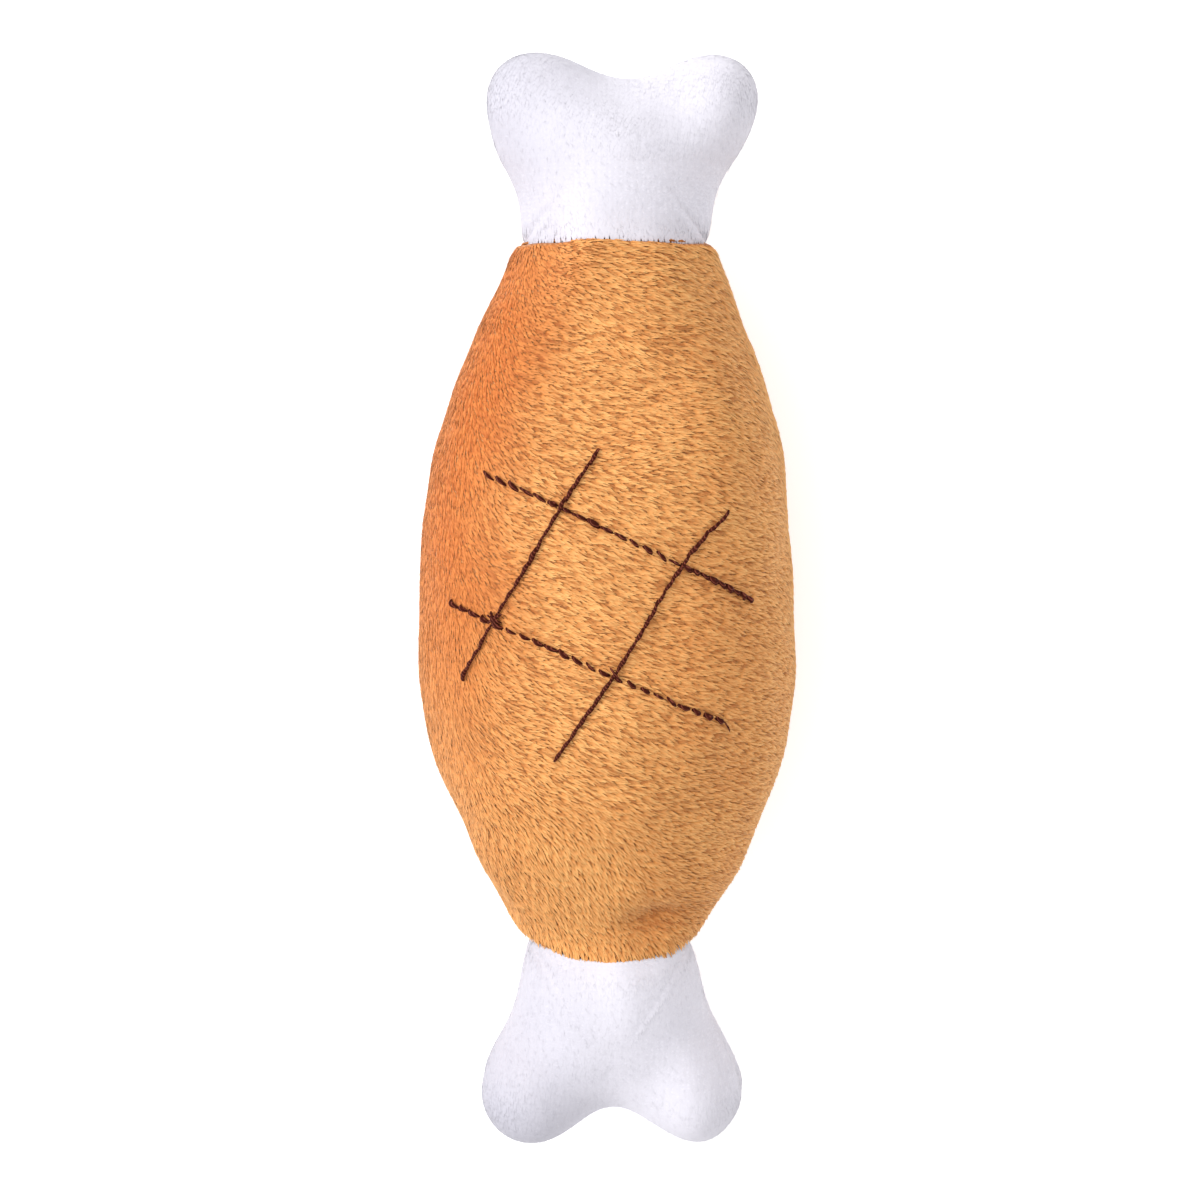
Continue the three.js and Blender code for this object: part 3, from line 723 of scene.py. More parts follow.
def group_material(name, group, values, wiring, settings):
    """A material whose Principled shader takes what the group puts out, and has its own constant settings."""
    material = bpy.data.materials.new(name)
    material.use_nodes = True
    tree = material.node_tree
    shader = tree.nodes["Principled BSDF"]
    effect = add(tree, "ShaderNodeGroup", node_tree=group)
    for key, value in values.items():
        effect.inputs[key].default_value = value
    for output, socket in wiring.items():
        if output == "Height":
            bump = add(tree, "ShaderNodeBump", {"Height": effect.outputs[output], "Strength": socket[0],
                                                "Distance": socket[1]})
            tree.links.new(bump.outputs["Normal"], shader.inputs["Normal"])
        else:
            tree.links.new(effect.outputs[output], shader.inputs[socket])
    for key, value in settings.items():
        shader.inputs[key].default_value = value
    return material


pile_tone = pile_group()
cloth_wiring = {"Color": "Base Color", "Roughness": "Roughness"}
# Root is painted shade, Tip a painted highlight, and Deep the painted shade of the left side and the colour of random
# patches.
tan_pile = group_material("tan_pile", pile_tone, {
    "Root": color(212, 134, 66), "Fibre": color(235, 163, 94), "Tip": color(247, 188, 114),
    "Deep": color(192, 87, 14), "Lock Contrast": 0.62, "Warmth": 1.5, "Patch Size": 45.0, "Painted Shade Side": 1.0,
    "Top Reach": 0.01,
}, cloth_wiring, {"Sheen Weight": 0.5, "Sheen Roughness": 0.35, "Sheen Tint": color(255, 214, 160)})
white_pile = group_material("white_pile", pile_tone, {
    "Root": color(232, 229, 239), "Fibre": color(234, 231, 240), "Tip": color(235, 232, 241),
    "Deep": color(188, 186, 197), "Lock Contrast": 0.05, "Patch Size": 60.0, "Painted Shade Side": 1.0,
    "Side End": 0.018, "Low Share": 1.0, "Deep Root": 1.0,
}, cloth_wiring, {"Sheen Weight": 0.05, "Sheen Roughness": 0.4, "Sheen Tint": color(255, 255, 255)})
print("pile materials:", tan_pile.name, white_pile.name)

# %% [markdown]
# ## The knitted ground
#
# Between the locks one looks down on the knitted cloth that holds them. Its columns of loops run along the toy,
# about one to the millimetre. Two wave textures make the loops, and their product lifts the cloth and paints shade
# into the gaps between loops. On the white ends the cloth takes the same painted shade at the left as the pile on
# it, so that no gap between locks stands out.

# %% Build the knit group and the ground materials
def knit_group():
    tree, given, result = start_group("knit_loops", "ShaderNodeTree", {
        "Yarn": ("Color", (0.4, 0.2, 0.1, 1)), "Gap": ("Color", (0.1, 0.05, 0.02, 1)),
        "Columns": ("Float", 330.0), "Rows": ("Float", 420.0), "Fuzz": ("Float", 900.0),
        "Deep": ("Color", (0.4, 0.4, 0.4, 1)), "Painted Shade Side": ("Float", 0.0),
    }, {"Color": ("Color", None), "Roughness": ("Float", None), "Height": ("Float", None)})
    place = object_place(tree)
    columns = add(tree, "ShaderNodeTexWave", {"Vector": place, "Scale": given.outputs["Columns"], "Distortion": 1.2},
                  bands_direction="X").outputs["Fac"]
    rows = add(tree, "ShaderNodeTexWave", {"Vector": place, "Scale": given.outputs["Rows"], "Distortion": 1.6},
               bands_direction="Y").outputs["Fac"]
    loops = math(tree, "MULTIPLY", columns, rows)
    fuzz = add(tree, "ShaderNodeTexNoise", {"Vector": place, "Scale": given.outputs["Fuzz"], "Detail": 2.0})
    height = math(tree, "MULTIPLY_ADD", fuzz.outputs["Fac"], 0.35, loops)
    # The gaps between loops get painted shade in the Gap colour.
    knitted = mix(tree, spread(tree, height, 0.1, 0.9), given.outputs["Gap"], given.outputs["Yarn"])
    # The left side gets painted shade in the Deep colour, as the pile does.
    across = add(tree, "ShaderNodeSeparateXYZ", {"Vector": place}).outputs["X"]
    left = spread(tree, across, -0.03, 0.008, given.outputs["Painted Shade Side"], 0.0)
    tree.links.new(mix(tree, left, knitted, given.outputs["Deep"]), result.inputs["Color"])
    tree.links.new(spread(tree, height, 0.0, 1.0, 1.0, 0.8), result.inputs["Roughness"])
    tree.links.new(height, result.inputs["Height"])
    return tree


knit = knit_group()
knit_wiring = {**cloth_wiring, "Height": (0.6, 0.0004)}
# Gap is the painted shade between loops; on the white ground Deep is painted shade on the left side.
tan_ground = group_material("tan_ground", knit, {"Yarn": color(216, 144, 84), "Gap": color(176, 108, 58)},
                            knit_wiring, {"Sheen Weight": 0.1})
white_ground = group_material("white_ground", knit, {
    "Yarn": color(235, 232, 242), "Gap": color(231, 228, 238), "Deep": color(188, 186, 197), "Painted Shade Side": 1.0,
}, {**cloth_wiring, "Height": (0.2, 0.0002)}, {"Sheen Weight": 0.1})
for name, cloth in cloths.items():
    cloth.data.materials.clear()
    cloth.data.materials.append(tan_ground if "body" in name else white_ground)
print("ground materials on", len(cloths), "cloths")

# %% [markdown]
# ## Where the embroidery runs
#
# Four lines cross on the front, two each way, as the bars of a grill would mark a roast. Their places are shares of
# the belly's half width and of half the body's length. A smooth curve goes through the ends and the crossings, and
# is walked in even steps of one stitch.

# %% Trace the four lines
crossing_shares = {
    "upper_left": (-0.223, 0.327), "upper_right": (0.344, 0.172),
    "lower_left": (-0.534, 0.014), "lower_right": (0.024, -0.125),
}
grill_shares = {
    "grill_line_upper": ((-0.589, 0.414), "upper_left", "upper_right", (0.698, 0.065)),
    "grill_line_lower": ((-0.758, 0.059), "lower_left", "lower_right", (0.56, -0.265)),
    "grill_line_left": ((-0.046, 0.483), "upper_left", "lower_left", (-0.696, -0.151)),
    "grill_line_right": ((0.558, 0.314), "upper_right", "lower_right", (-0.25, -0.362)),
}


def smooth_path(knots, count=400):
    knots = np.asarray(knots, float)
    padded = np.vstack([knots[:1], knots, knots[-1:]])
    at = np.linspace(0, len(knots) - 1, count)
    i = np.minimum(at.astype(int), len(knots) - 2)
    t = (at - i)[:, None]
    a, b, c, d = (padded[i + k] for k in range(4))
    v, w = (c - a) / 2, (d - b) / 2
    return (2 * b - 2 * c + v + w) * t ** 3 + (3 * c - 3 * b - 2 * v - w) * t ** 2 + v * t + b


def even_steps(path, pitch):
    """Places and directions along a path, one to each stitch."""
    length = np.concatenate([[0], np.cumsum(np.linalg.norm(np.diff(path, axis=0), axis=1))])
    count = max(1, round(length[-1] / pitch))
    at = (np.arange(count) + 0.5) * length[-1] / count
    places = np.stack([np.interp(at, length, axis) for axis in path.T], -1)
    further = np.stack([np.interp(at + 0.05, length, axis) for axis in path.T], -1)
    nearer = np.stack([np.interp(at - 0.05, length, axis) for axis in path.T], -1)
    return places, unit(further - nearer)


def on_front(x, y, inset):
    angle = np.arccos((x - lean(y)) / (taper(y)[0] - inset))
    return body_point(y, angle, inset)


grill_paths = {}
for name, shares in grill_shares.items():
    knots = [crossing_shares[s] if isinstance(s, str) else s for s in shares]
    flat = smooth_path(np.array(knots) * (belly_half_width, body_half_length))
    grill_paths[name] = on_front(flat[:, 0], flat[:, 1], ground_inset)
    print(name, "is", round(np.linalg.norm(np.diff(grill_paths[name], axis=0), axis=1).sum(), 1), "mm long")

# %% [markdown]
# ## The pile
#
# A pile of fibre could be Blender's hair, but hair is not a solid surface that other programs can use. Here each
# lock of fibres is a small spindle that leaves the cloth and lies down along the nap. A geometry tree scatters the
# locks evenly over the sheet, turns each one to the surface and to the combing direction, and gives it a chance
# value. Thin single hairs stand up between the locks and make the soft outline. Locks that the embroidery would
# cover are left out.

# %% Make one lock and one hair
def spindle(name, root_z, swell_at, tip, width, thickness):
    """A closed lock of five points: it leaves the ground, swells and ends in a tip."""
    x, z = swell_at
    points = [(-0.1, 0, root_z), (x, -width, z), (x, width, z), (x, 0, z + thickness), (tip[0], 0, tip[1])]
    made = mesh_object(name, points, [(0, 2, 1), (0, 3, 2), (0, 1, 3), (1, 2, 4), (2, 3, 4), (3, 1, 4)])
    store(made.data, "rise", [0, *[x / tip[0]] * 3, 1])
    return made


lock = spindle("lock", -0.3, (0.6, 0.2), (2.1, 0.38), 0.25, 0.13)
hair = spindle("hair", -0.2, (0.9, 0.35), (1.8, 0.62), -0.026, -0.02)
for thing in (lock, hair):
    print(thing.name, "has", len(thing.data.polygons), "faces")

# %% [markdown]
# ## Combing
#
# The nap has a direction in every place. On the front it lies across the toy, sloping a little down to the right,
# and turns steeper along the left flank. On the bone ends and over the bottom neck it lies towards the bottom end.
# Beside a side seam it follows the seam, as pile does that was caught in sewing. Slow waves turn it a little from
# place to place, which is what a hand does to plush. Short partings between the locks sink a little and show as
# darker marks of painted shade, and at the lower left they line up in the columns of the knit.

# %% Write the nap
nap_waves = waves(21, 26)
fine_nap_waves = waves(22, 9)
nap_slope, flank_slope, bone_slope = -18, -76, -88
flank_starts, flank_full = -14, -30
neck_comb_reach, seam_nap_reach = 5, 5
columns_below, columns_left, columns_soft, columns_slope = -34, 8, 14, -50
column_pitch, row_pitch = 1.8, 1.45


def flank_share(places):
    x, y = places[:, 0], places[:, 1]
    x = np.where(y > belly_y, (x - lean(y)) * belly_half_width / taper(y)[0], x)
    return eased((flank_starts - x) / (flank_starts - flank_full))


def columns_share(places):
    """The lower left of the body, where the knitted columns show through the pile."""
    low = eased((columns_below - places[:, 1]) / columns_soft + 0.5)
    return low * eased((columns_left - places[:, 0]) / columns_soft + 0.5)


def outward(name, places):
    """The level direction away from the toy's middle, across the seam in its outline."""
    if "body" in name:
        return np.stack([np.sign(places[:, 0]), 0 * places[:, 0]], -1)
    end = ends[name.split("_")[0]]
    local = np.stack([places[:, 0] - lean(places[:, 1]), end["side"] * (places[:, 1] - end["seam_y"])])
    value = outside_bone(*local, 0 * local[0], end)
    grown = [outside_bone(*(local + 0.01 * np.eye(2)[i][:, None]), 0 * local[0], end) - value for i in (0, 1)]
    return unit(np.stack([grown[0], end["side"] * grown[1]], -1))


def nap_direction(name, places):
    slope = np.full(len(places), float(bone_slope))
    if "body" in name:
        slope = nap_slope + (columns_slope - nap_slope) * columns_share(places)
        slope += (flank_slope - slope) * flank_share(places)
        edge = places[:, 1] - neck_line(ends["bottom"], places[:, 0], places[:, 1])
        slope += (bone_slope - slope) * np.clip(1 - edge / neck_comb_reach, 0, 1)
    turn = np.radians(slope + 3 * nap_waves(places) + 3 * fine_nap_waves(places))
    nap = np.stack([np.cos(turn), np.sin(turn), 0 * turn], -1)
    outwards = outward(name, places)
    along = np.stack([-outwards[:, 1], outwards[:, 0], 0 * turn], -1)
    along *= np.where((along * nap).sum(-1) + 0.2 * along[:, 0] * np.sign(places[:, 0]) > 0, 1, -1)[:, None]
    near_seam = np.exp(-((places[:, 2] - middle_z) / seam_nap_reach) ** 2)[:, None]
    return unit((1 - near_seam) * nap + near_seam * along)


def parting(seed, slope, length, width):
    """Short partings in the pile, which lie along the nap: 1 in the middle of a parting, 0 on the pile."""
    ripple, turn = waves(seed, width, count=48), radians(slope)

    def share(places):
        along = places[:, 0] * cos(turn) + places[:, 1] * sin(turn)
        across = places[:, 1] * cos(turn) - places[:, 0] * sin(turn)
        return eased((ripple(np.stack([along * width / length, across, 0.6 * places[:, 2]], -1)) + 0.5) / 2.3)
    return share


belly_partings, flank_partings = parting(31, nap_slope, 3.6, 0.9), parting(32, flank_slope, 4.5, 0.9)
bone_partings = parting(33, bone_slope, 4.5, 1.2)


def column_partings(places):
    """The columns of the knitted ground press through the pile as rows of short marks of painted shade."""
    x = places[:, 0] + 0.25 * nap_waves(places) + 0.12 * fine_nap_waves(places)
    y = places[:, 1] + 0.4 * fine_nap_waves(places + 40)
    return (0.5 + 0.5 * np.sin(2 * pi * x / column_pitch)) * (0.5 + 0.5 * np.sin(2 * pi * y / row_pitch))


def partings(name, places):
    if "body" not in name:
        return 0.1 * bone_partings(places)
    flank, columns = flank_share(places), columns_share(places)
    plain = (1 - flank) * belly_partings(places) + 0.25 * flank * flank_partings(places)
    return plain + (0.8 * column_partings(places) - plain) * columns


def pile_tree():
    tree, given, result = start_group("pile", "GeometryNodeTree", {
        "Geometry": ("Geometry", None), "Lock": ("Object", None), "Hair": ("Object", None),
        "Embroidery": ("Object", None), "Lock Spacing": ("Float", 0.0005), "Hair Spacing": ("Float", 0.002),
        "Keep Clear": ("Float", 0.0003), "Lock Size": ("Float", 1.0),
        "Lock Length": ("Float", 1.0), "Hair Length": ("Float", 1.0),
        "Sway": ("Float", 0.2), "Pitch": ("Float", 0.05), "Roll": ("Float", 0.1), "Dip": ("Float", 0.0),
        "Material": ("Material", None), "Seed": ("Int", 1),
    }, {"Geometry": ("Geometry", None)})
    given_by = given.outputs
    joined = add(tree, "GeometryNodeJoinGeometry")
    loft, reach = named(tree, "loft", "FLOAT"), named(tree, "reach", "FLOAT")
    thread = add(tree, "GeometryNodeObjectInfo", {"Object": given_by["Embroidery"]}).outputs["Geometry"]
    away = add(tree, "GeometryNodeProximity", {0: thread}, target_element="EDGES").outputs["Distance"]
    clear = add(tree, "FunctionNodeCompare", {0: away, 1: given_by["Keep Clear"]}, data_type="FLOAT",
                operation="GREATER_THAN").outputs[0]
    for salt, (strand, spacing, spread_by) in enumerate((("Lock", "Lock Spacing", 1.0), ("Hair", "Hair Spacing", 2.6))):
        density = math(tree, "DIVIDE", 1.3, math(tree, "MULTIPLY", given_by[spacing], given_by[spacing]))
        seed = math(tree, "ADD", given_by["Seed"], 10.0 * salt)
        points = add(tree, "GeometryNodeDistributePointsOnFaces", {
            "Mesh": given_by["Geometry"], "Distance Min": given_by[spacing], "Density Max": density, "Seed": seed,
        }, distribute_method="POISSON").outputs["Points"]

        def chance(low, high, number):
            return add(tree, "FunctionNodeRandomValue", {2: low, 3: high, "Seed": number + 10 * salt},
                       data_type="FLOAT").outputs[1]

        sway = math(tree, "MULTIPLY", given_by["Sway"], spread_by)
        jitter = add(tree, "ShaderNodeCombineXYZ", {
            "X": math(tree, "MULTIPLY", chance(-1.0, 1.0, 1), given_by["Roll"]),
            "Y": math(tree, "MULTIPLY_ADD", chance(-1.0, 1.0, 2), given_by["Pitch"], given_by["Dip"]),
            "Z": math(tree, "MULTIPLY", chance(-1.0, 1.0, 3), sway),
        }).outputs[0]
        turned = facing(tree, named(tree, "up"), named(tree, "comb"), jitter)
        size = add(tree, "ShaderNodeCombineXYZ", {
            "X": math(tree, "MULTIPLY", chance(0.7, 1.25, 4),
                      math(tree, "MULTIPLY", reach, given_by[strand + " Length"])),
            "Y": math(tree, "MULTIPLY", chance(0.75, 1.3, 5), given_by["Lock Size"]),
            "Z": math(tree, "MULTIPLY", chance(0.85, 1.15, 6), loft if strand == "Lock" else 1.0),
        }).outputs[0]
        shape = add(tree, "GeometryNodeObjectInfo", {"Object": given_by[strand]}).outputs["Geometry"]
        planted = add(tree, "GeometryNodeInstanceOnPoints", {
            "Points": points, "Selection": clear, "Instance": shape, "Rotation": turned, "Scale": size,
        }).outputs[0]
        marked = add(tree, "GeometryNodeStoreNamedAttribute", {
            "Geometry": planted, "Name": "shade", "Value": chance(0.0, 1.0, 7),
        }, data_type="FLOAT", domain="INSTANCE").outputs[0]
        tree.links.new(marked, joined.inputs[0])
    finish_tree(tree, joined.outputs[0], given_by["Material"], result)
    return tree


def set_inputs(modifier, values):
    """A modifier knows its inputs by identifier, so each name is looked up in the tree's interface first."""
    for item in modifier.node_group.interface.items_tree:
        if item.item_type == "SOCKET" and item.in_out == "INPUT" and item.name in values:
            modifier[item.identifier] = values[item.name]


print("nap on the belly:", nap_direction("body_front", np.array([[0.0, 0.0, 59.0]])).round(2))

# %% [markdown]
# ## Planting the pile
#
# Each panel's pile is planted on its sheet and on the first part of its rolled rim, and the locks that run over a
# neck seam are longer, so that two neighbouring panels close over their seam. Light scatters through real pile, so
# no single fibre turns black: each vertex gets a normal that is mostly the cloth's own. The body's pile comes in two
# lengths, above and below the belly, because a mesh of moderate size is easier for every program that opens it.

# %% Plant the pile
edges, start = [], 0
for path in grill_paths.values():
    edges += [(start + i, start + i + 1) for i in range(len(path) - 1)]
    start += len(path)
guide = mesh_object("grill_guide", np.vstack(list(grill_paths.values())), [], edges=edges)

kinds_of_pile = {
    "tan": dict(own_share=0.22, settings={
        "Material": tan_pile, "Lock Spacing": 0.35 * mm, "Hair Spacing": 1.3 * mm, "Lock Size": 1.0,
        "Lock Length": 1.0, "Hair Length": 1.0, "Sway": 0.2, "Pitch": 0.05, "Roll": 0.12, "Dip": 0.0,
    }),
    "white": dict(own_share=0.06, settings={
        "Material": white_pile, "Lock Spacing": 0.34 * mm, "Hair Spacing": 1.2 * mm, "Lock Size": 1.2,
        "Lock Length": 0.62, "Hair Length": 0.7, "Sway": 0.25, "Pitch": 0.02, "Roll": 0.03, "Dip": 0.045,
    }),
}
clear_of_thread = 0.22
droop = 1.5
flank_flatness, white_loft, overhang_loft = 0.7, 0.1, 0.6
neck_overhangs = {"top_bone": ("top", 0.8), "body": ("bottom", 0.4)}
overhang_reach = 2
plain_tone, lock_variety, parting_shade, dimple_shade = 0.7, 0.35, 0.62, 0.3
parting_depth, parting_tilt, feel = 0.1, 0.22, 0.05
neck_flatness, neck_flat_reach = 0.8, 2.5
bare_reach = 2.2
lock_points = len(lock.data.vertices)
planting = pile_tree()
piles = {}


def overhang(panel, points):
    """Where the nap runs over a neck seam, the locks are longer and close it: white ones above, tan ones below."""
    for part, (end_name, longer) in neck_overhangs.items():
        if panel.startswith(part):
            return longer * np.exp(-(neck_gap(ends[end_name], points) / overhang_reach) ** 2)
    return np.zeros(len(points))


def plant(name, panel, points, faces, seed):
    """Plant locks and hairs on a sheet, comb and part them, and give them the soft light that deep pile has."""
    kind = kinds_of_pile["tan" if "body" in panel else "white"]
    field = mesh_object("field", points, faces)
    up = normals_of(field.data)
    comb = nap_direction(panel, points)
    comb = unit(comb - droop * (up * comb).sum(-1, keepdims=True) * up[:, 2:] * (0, 0, 1))
    longer = overhang(panel, points)
    loft = 1 - flank_flatness * flank_share(points) if "body" in panel else white_loft + overhang_loft * longer
    for label, values in (("up", up), ("comb", comb), ("loft", loft), ("reach", 1 + longer)):
        store(field.data, label, values)
    modifier = field.modifiers.new("pile", "NODES")
    modifier.node_group = planting
    set_inputs(modifier, {
        "Lock": lock, "Hair": hair, "Embroidery": guide, "Seed": seed,
        "Keep Clear": clear_of_thread * mm if panel == "body_front" else 0.0, **kind["settings"],
    })
    mesh = final_mesh(field)
    places, own = points_of(mesh), normals_of(mesh)
    up, comb = (read(mesh.attributes[label].data, "vector") for label in ("up", "comb"))
    for label in ("up", "comb", "loft", "reach"):
        mesh.attributes.remove(mesh.attributes[label])
    parted = np.repeat(partings(panel, places.reshape(-1, lock_points, 3).mean(1)), lock_points)
    across = np.cross(up, comb)
    slope = (partings(panel, places + feel * across) - partings(panel, places - feel * across)) / (2 * feel)
    shade = mesh.attributes["shade"].data
    chance = read(shade, "value", 1)[:, 0]
    # Painted shade darkens locks in the partings and in the dimple, on top of a random tone.
    tone = plain_tone + lock_variety * (chance - 0.5) - parting_shade * parted - dimple_shade * pressed(places)
    shade.foreach_set("value", tone.astype(np.float32))
    places -= (parting_depth * parted)[:, None] * up
    places[:, 2] = np.maximum(places[:, 2], table_lift)
    move_points(mesh, places)
    piles[name] = shown(name, mesh)
    up[:, 1] *= 1 - neck_flatness * np.exp(-(nearest_neck(places) / neck_flat_reach) ** 2)
    own_share = kind["own_share"]
    soft = unit((1 - own_share) * up + own_share * own + (parting_tilt * slope)[:, None] * across)
    mesh.normals_split_custom_set_from_vertices(soft.astype(np.float32))
    print(name, len(mesh.polygons), "faces, up to", places.max(0).round(1), "from", places.min(0).round(1))


for seed, (panel, (points, faces, rim)) in enumerate(stuffed_sheets.items()):
    flat_count = len(faces)
    points, faces = rolled(points, faces, rim, roll[:1])
    middles = np.array([points[list(face)].mean(0) for face in faces])
    bare = (np.arange(len(faces)) >= flat_count) & (nearest_neck(middles) < bare_reach) & ("body" not in panel)
    faces = [face for face, left_bare in zip(faces, bare) if not left_bare]
    if "body" not in panel:
        plant(f"{panel}_pile", panel, points, faces, seed)
        continue
    middle_y = middles[~bare, 1]
    for half, keep in (("upper", middle_y >= belly_y), ("lower", middle_y < belly_y)):
        chosen = [face for face, kept in zip(faces, keep) if kept]
        used = np.unique(np.concatenate(chosen))
        renumber = {int(old): new for new, old in enumerate(used)}
        plant(f"{panel}_pile_{half}", panel, points[used], [[renumber[int(i)] for i in f] for f in chosen], seed + 50)

# %% [markdown]
# ## Thread
#
# Embroidery and sewing thread is two plies twisted together. From above it shows a slanting twist, a soft gleam and
# small dark lines between the plies. A wave texture slanted across the thread gives the twist its bump and its
# colour, with a paler colour painted on the raised parts as a highlight, and a fine noise breaks it up as loose
# fibres do.

# %% Build the thread group and its materials
def thread_group():
    tree, given, result = start_group("twisted_thread", "ShaderNodeTree", {
        "Thread": ("Color", (0.05, 0.02, 0.01, 1)), "Painted Highlight": ("Color", (0.3, 0.12, 0.08, 1)),
        "Twist": ("Float", 700.0), "Fibres": ("Float", 2500.0),
    }, {"Color": ("Color", None), "Roughness": ("Float", None), "Height": ("Float", None)})
    place = object_place(tree)
    twist = add(tree, "ShaderNodeTexWave", {"Vector": place, "Scale": given.outputs["Twist"], "Distortion": 2.5,
                                            "Detail": 2.0}, bands_direction="DIAGONAL").outputs["Fac"]
    fibres = add(tree, "ShaderNodeTexNoise", {"Vector": place, "Scale": given.outputs["Fibres"]}).outputs["Fac"]
    height = math(tree, "MULTIPLY_ADD", fibres, 0.5, twist)
    # Raised parts of the twist get a paler colour as a painted highlight.
    tree.links.new(mix(tree, spread(tree, height, 0.9, 1.5), given.outputs["Thread"], given.outputs["Painted Highlight"]),
                   result.inputs["Color"])
    tree.links.new(spread(tree, height, 0.2, 1.4, 0.85, 0.6), result.inputs["Roughness"])
    tree.links.new(height, result.inputs["Height"])
    return tree


twisted = thread_group()
thread_wiring = {**cloth_wiring, "Height": (0.7, 0.00012)}
# Each thread's second colour is its painted highlight.
thread_materials = {
    slot: group_material(slot, twisted, {"Thread": color(*dark), "Painted Highlight": color(*painted_highlight)}, thread_wiring,
                         {"Specular IOR Level": 0.12})
    for slot, dark, painted_highlight in (
        ("brown_thread", (66, 20, 10), (150, 80, 62)),
        ("tan_thread", (176, 110, 58), (226, 168, 110)),
        ("white_thread", (226, 222, 228), (248, 246, 250)),
    )
}
print("threads:", sorted(thread_materials))

# %% [markdown]
# ## One stitch
#
# A machine stitch dives into the cloth at both ends and bulges between them, because the thread is pulled tight in
# the holes. One stitch is modelled with a twisted, two-ply section, once finely for the embroidery and once with
# few faces for the seams, where hundreds are used.

# %% Model the stitches
def stitch(name, length, radius, arch, rows, sides, twists, plies=0.2):
    points = []
    for i in range(rows + 1):
        t = i / rows
        swell = radius * (0.4 + 0.6 * sin(pi * t) ** 0.6)
        centre = (length * (t - 0.5), arch * (1 - (2 * t - 1) ** 2) - arch * 0.8)
        for j in range(sides):
            turn = 2 * pi * j / sides
            r = swell * (1 - plies + plies * abs(cos(turn - pi * twists * t)) * 1.6)
            points.append((centre[0], r * cos(turn), centre[1] + r * sin(turn)))
    caps = [tuple(range(sides))[::-1], tuple(range(rows * sides, (rows + 1) * sides))]
    return mesh_object(name, points, ring_quads(rows, sides) + caps)


stitch_length = 2.5
bead = stitch("bead", stitch_length, 0.38, 0.9, 10, 10, 1.6)
seam_stitch = stitch("seam_stitch", stitch_length + 0.1, 0.3, 0.12, 5, 5, 1.0)
rung = stitch("rung", 3.0, 0.28, 0.3, 8, 6, 1.5)
for thing in (bead, seam_stitch, rung):
    print(thing.name, "has", len(thing.data.polygons), "faces")


def sewing_tree():
    tree, given, result = start_group("sewing", "GeometryNodeTree", {
        "Geometry": ("Geometry", None), "Stitch": ("Object", None), "Slant": ("Float", 0.0),
        "Unevenness": ("Float", 0.06), "Material": ("Material", None), "Seed": ("Int", 3),
    }, {"Geometry": ("Geometry", None)})
    given_by = given.outputs

    def chance(number):
        return add(tree, "FunctionNodeRandomValue", {
            2: -1.0, 3: 1.0, "Seed": math(tree, "ADD", given_by["Seed"], float(number)),
        }, data_type="FLOAT").outputs[1]

    yaw = math(tree, "MULTIPLY_ADD", chance(1), given_by["Unevenness"], given_by["Slant"])
    turned = facing(tree, named(tree, "up"), named(tree, "along"),
                    add(tree, "ShaderNodeCombineXYZ", {"Z": yaw}).outputs[0])
    thick = math(tree, "MULTIPLY", named(tree, "bulk", "FLOAT"),
                 math(tree, "MULTIPLY_ADD", chance(2), given_by["Unevenness"], 1.0))
    long = math(tree, "MULTIPLY_ADD", chance(3), given_by["Unevenness"], 1.0)
    size = add(tree, "ShaderNodeCombineXYZ", {"X": long, "Y": thick, "Z": thick}).outputs[0]
    shape = add(tree, "GeometryNodeObjectInfo", {"Object": given_by["Stitch"]}).outputs["Geometry"]
    points = add(tree, "GeometryNodeMeshToPoints", {"Mesh": given_by["Geometry"]}).outputs[0]
    sewn = add(tree, "GeometryNodeInstanceOnPoints", {
        "Points": points, "Instance": shape, "Rotation": turned, "Scale": size,
    }).outputs[0]
    finish_tree(tree, sewn, given_by["Material"], result)
    return tree


sewing = sewing_tree()
threads = {}


def sew(name, slot, shape, places, ways, ups, slant=0.0, unevenness=0.06, seed=3, bulk=1.0):
    holes = mesh_object(name + "_holes", places, [])
    for label, values in (("bulk", bulk + np.zeros(len(places))), ("up", ups), ("along", ways)):
        store(holes.data, label, values)
    modifier = holes.modifiers.new("sewing", "NODES")
    modifier.node_group = sewing
    set_inputs(modifier, {"Stitch": shape, "Slant": slant, "Unevenness": unevenness, "Seed": seed,
                          "Material": thread_materials[slot]})
    mesh = final_mesh(holes)
    for label in ("up", "along", "bulk"):
        mesh.attributes.remove(mesh.attributes[label])
    threads[name] = (shown(f"{name}_sewn", mesh), slot)
    print(name, len(places), "stitches", len(mesh.polygons), "faces")


# %% [markdown]
# ## Embroidering the grill lines
#
# The lines lie on the pile and press it down, and the two that were sewn last hop over the first two where they
# cross. The upper and lower lines were sewn across the machine's feed, so their stitches lie a little aslant. Where
# the machine slows down its stitches get shorter and thicker, and where a thread starts or ends it leaves a small
# knot or a loose end. A few single stitches stand for these.

# %% Embroider
front_points, front_faces, _ = stuffed_sheets["body_front"]
front_sheet = BVHTree.FromPolygons([tuple(point) for point in front_points], front_faces)


def on_cloth(places):
    """The nearest points of the stuffed front, under the pile, and the ways that it faces there."""
    hits = [front_sheet.find_nearest(tuple(place)) for place in places]
    return np.array([hit[0] for hit in hits]), np.array([hit[1] for hit in hits])


thread_rides = 0.78
hop_height, hop_reach = 0.5, 2.0
crossings = on_front(*(np.array(list(crossing_shares.values())) * (belly_half_width, body_half_length)).T, 0)
long_bead = stitch("long_bead", stitch_length + 0.7, 0.37, 0.5, 10, 9, 1.8)
thick_pitch = 1.7
thicker_from = {"grill_line_upper": (crossings[1, 0], 0.12), "grill_line_lower": (14, 0.2)}
thickens_over = 3
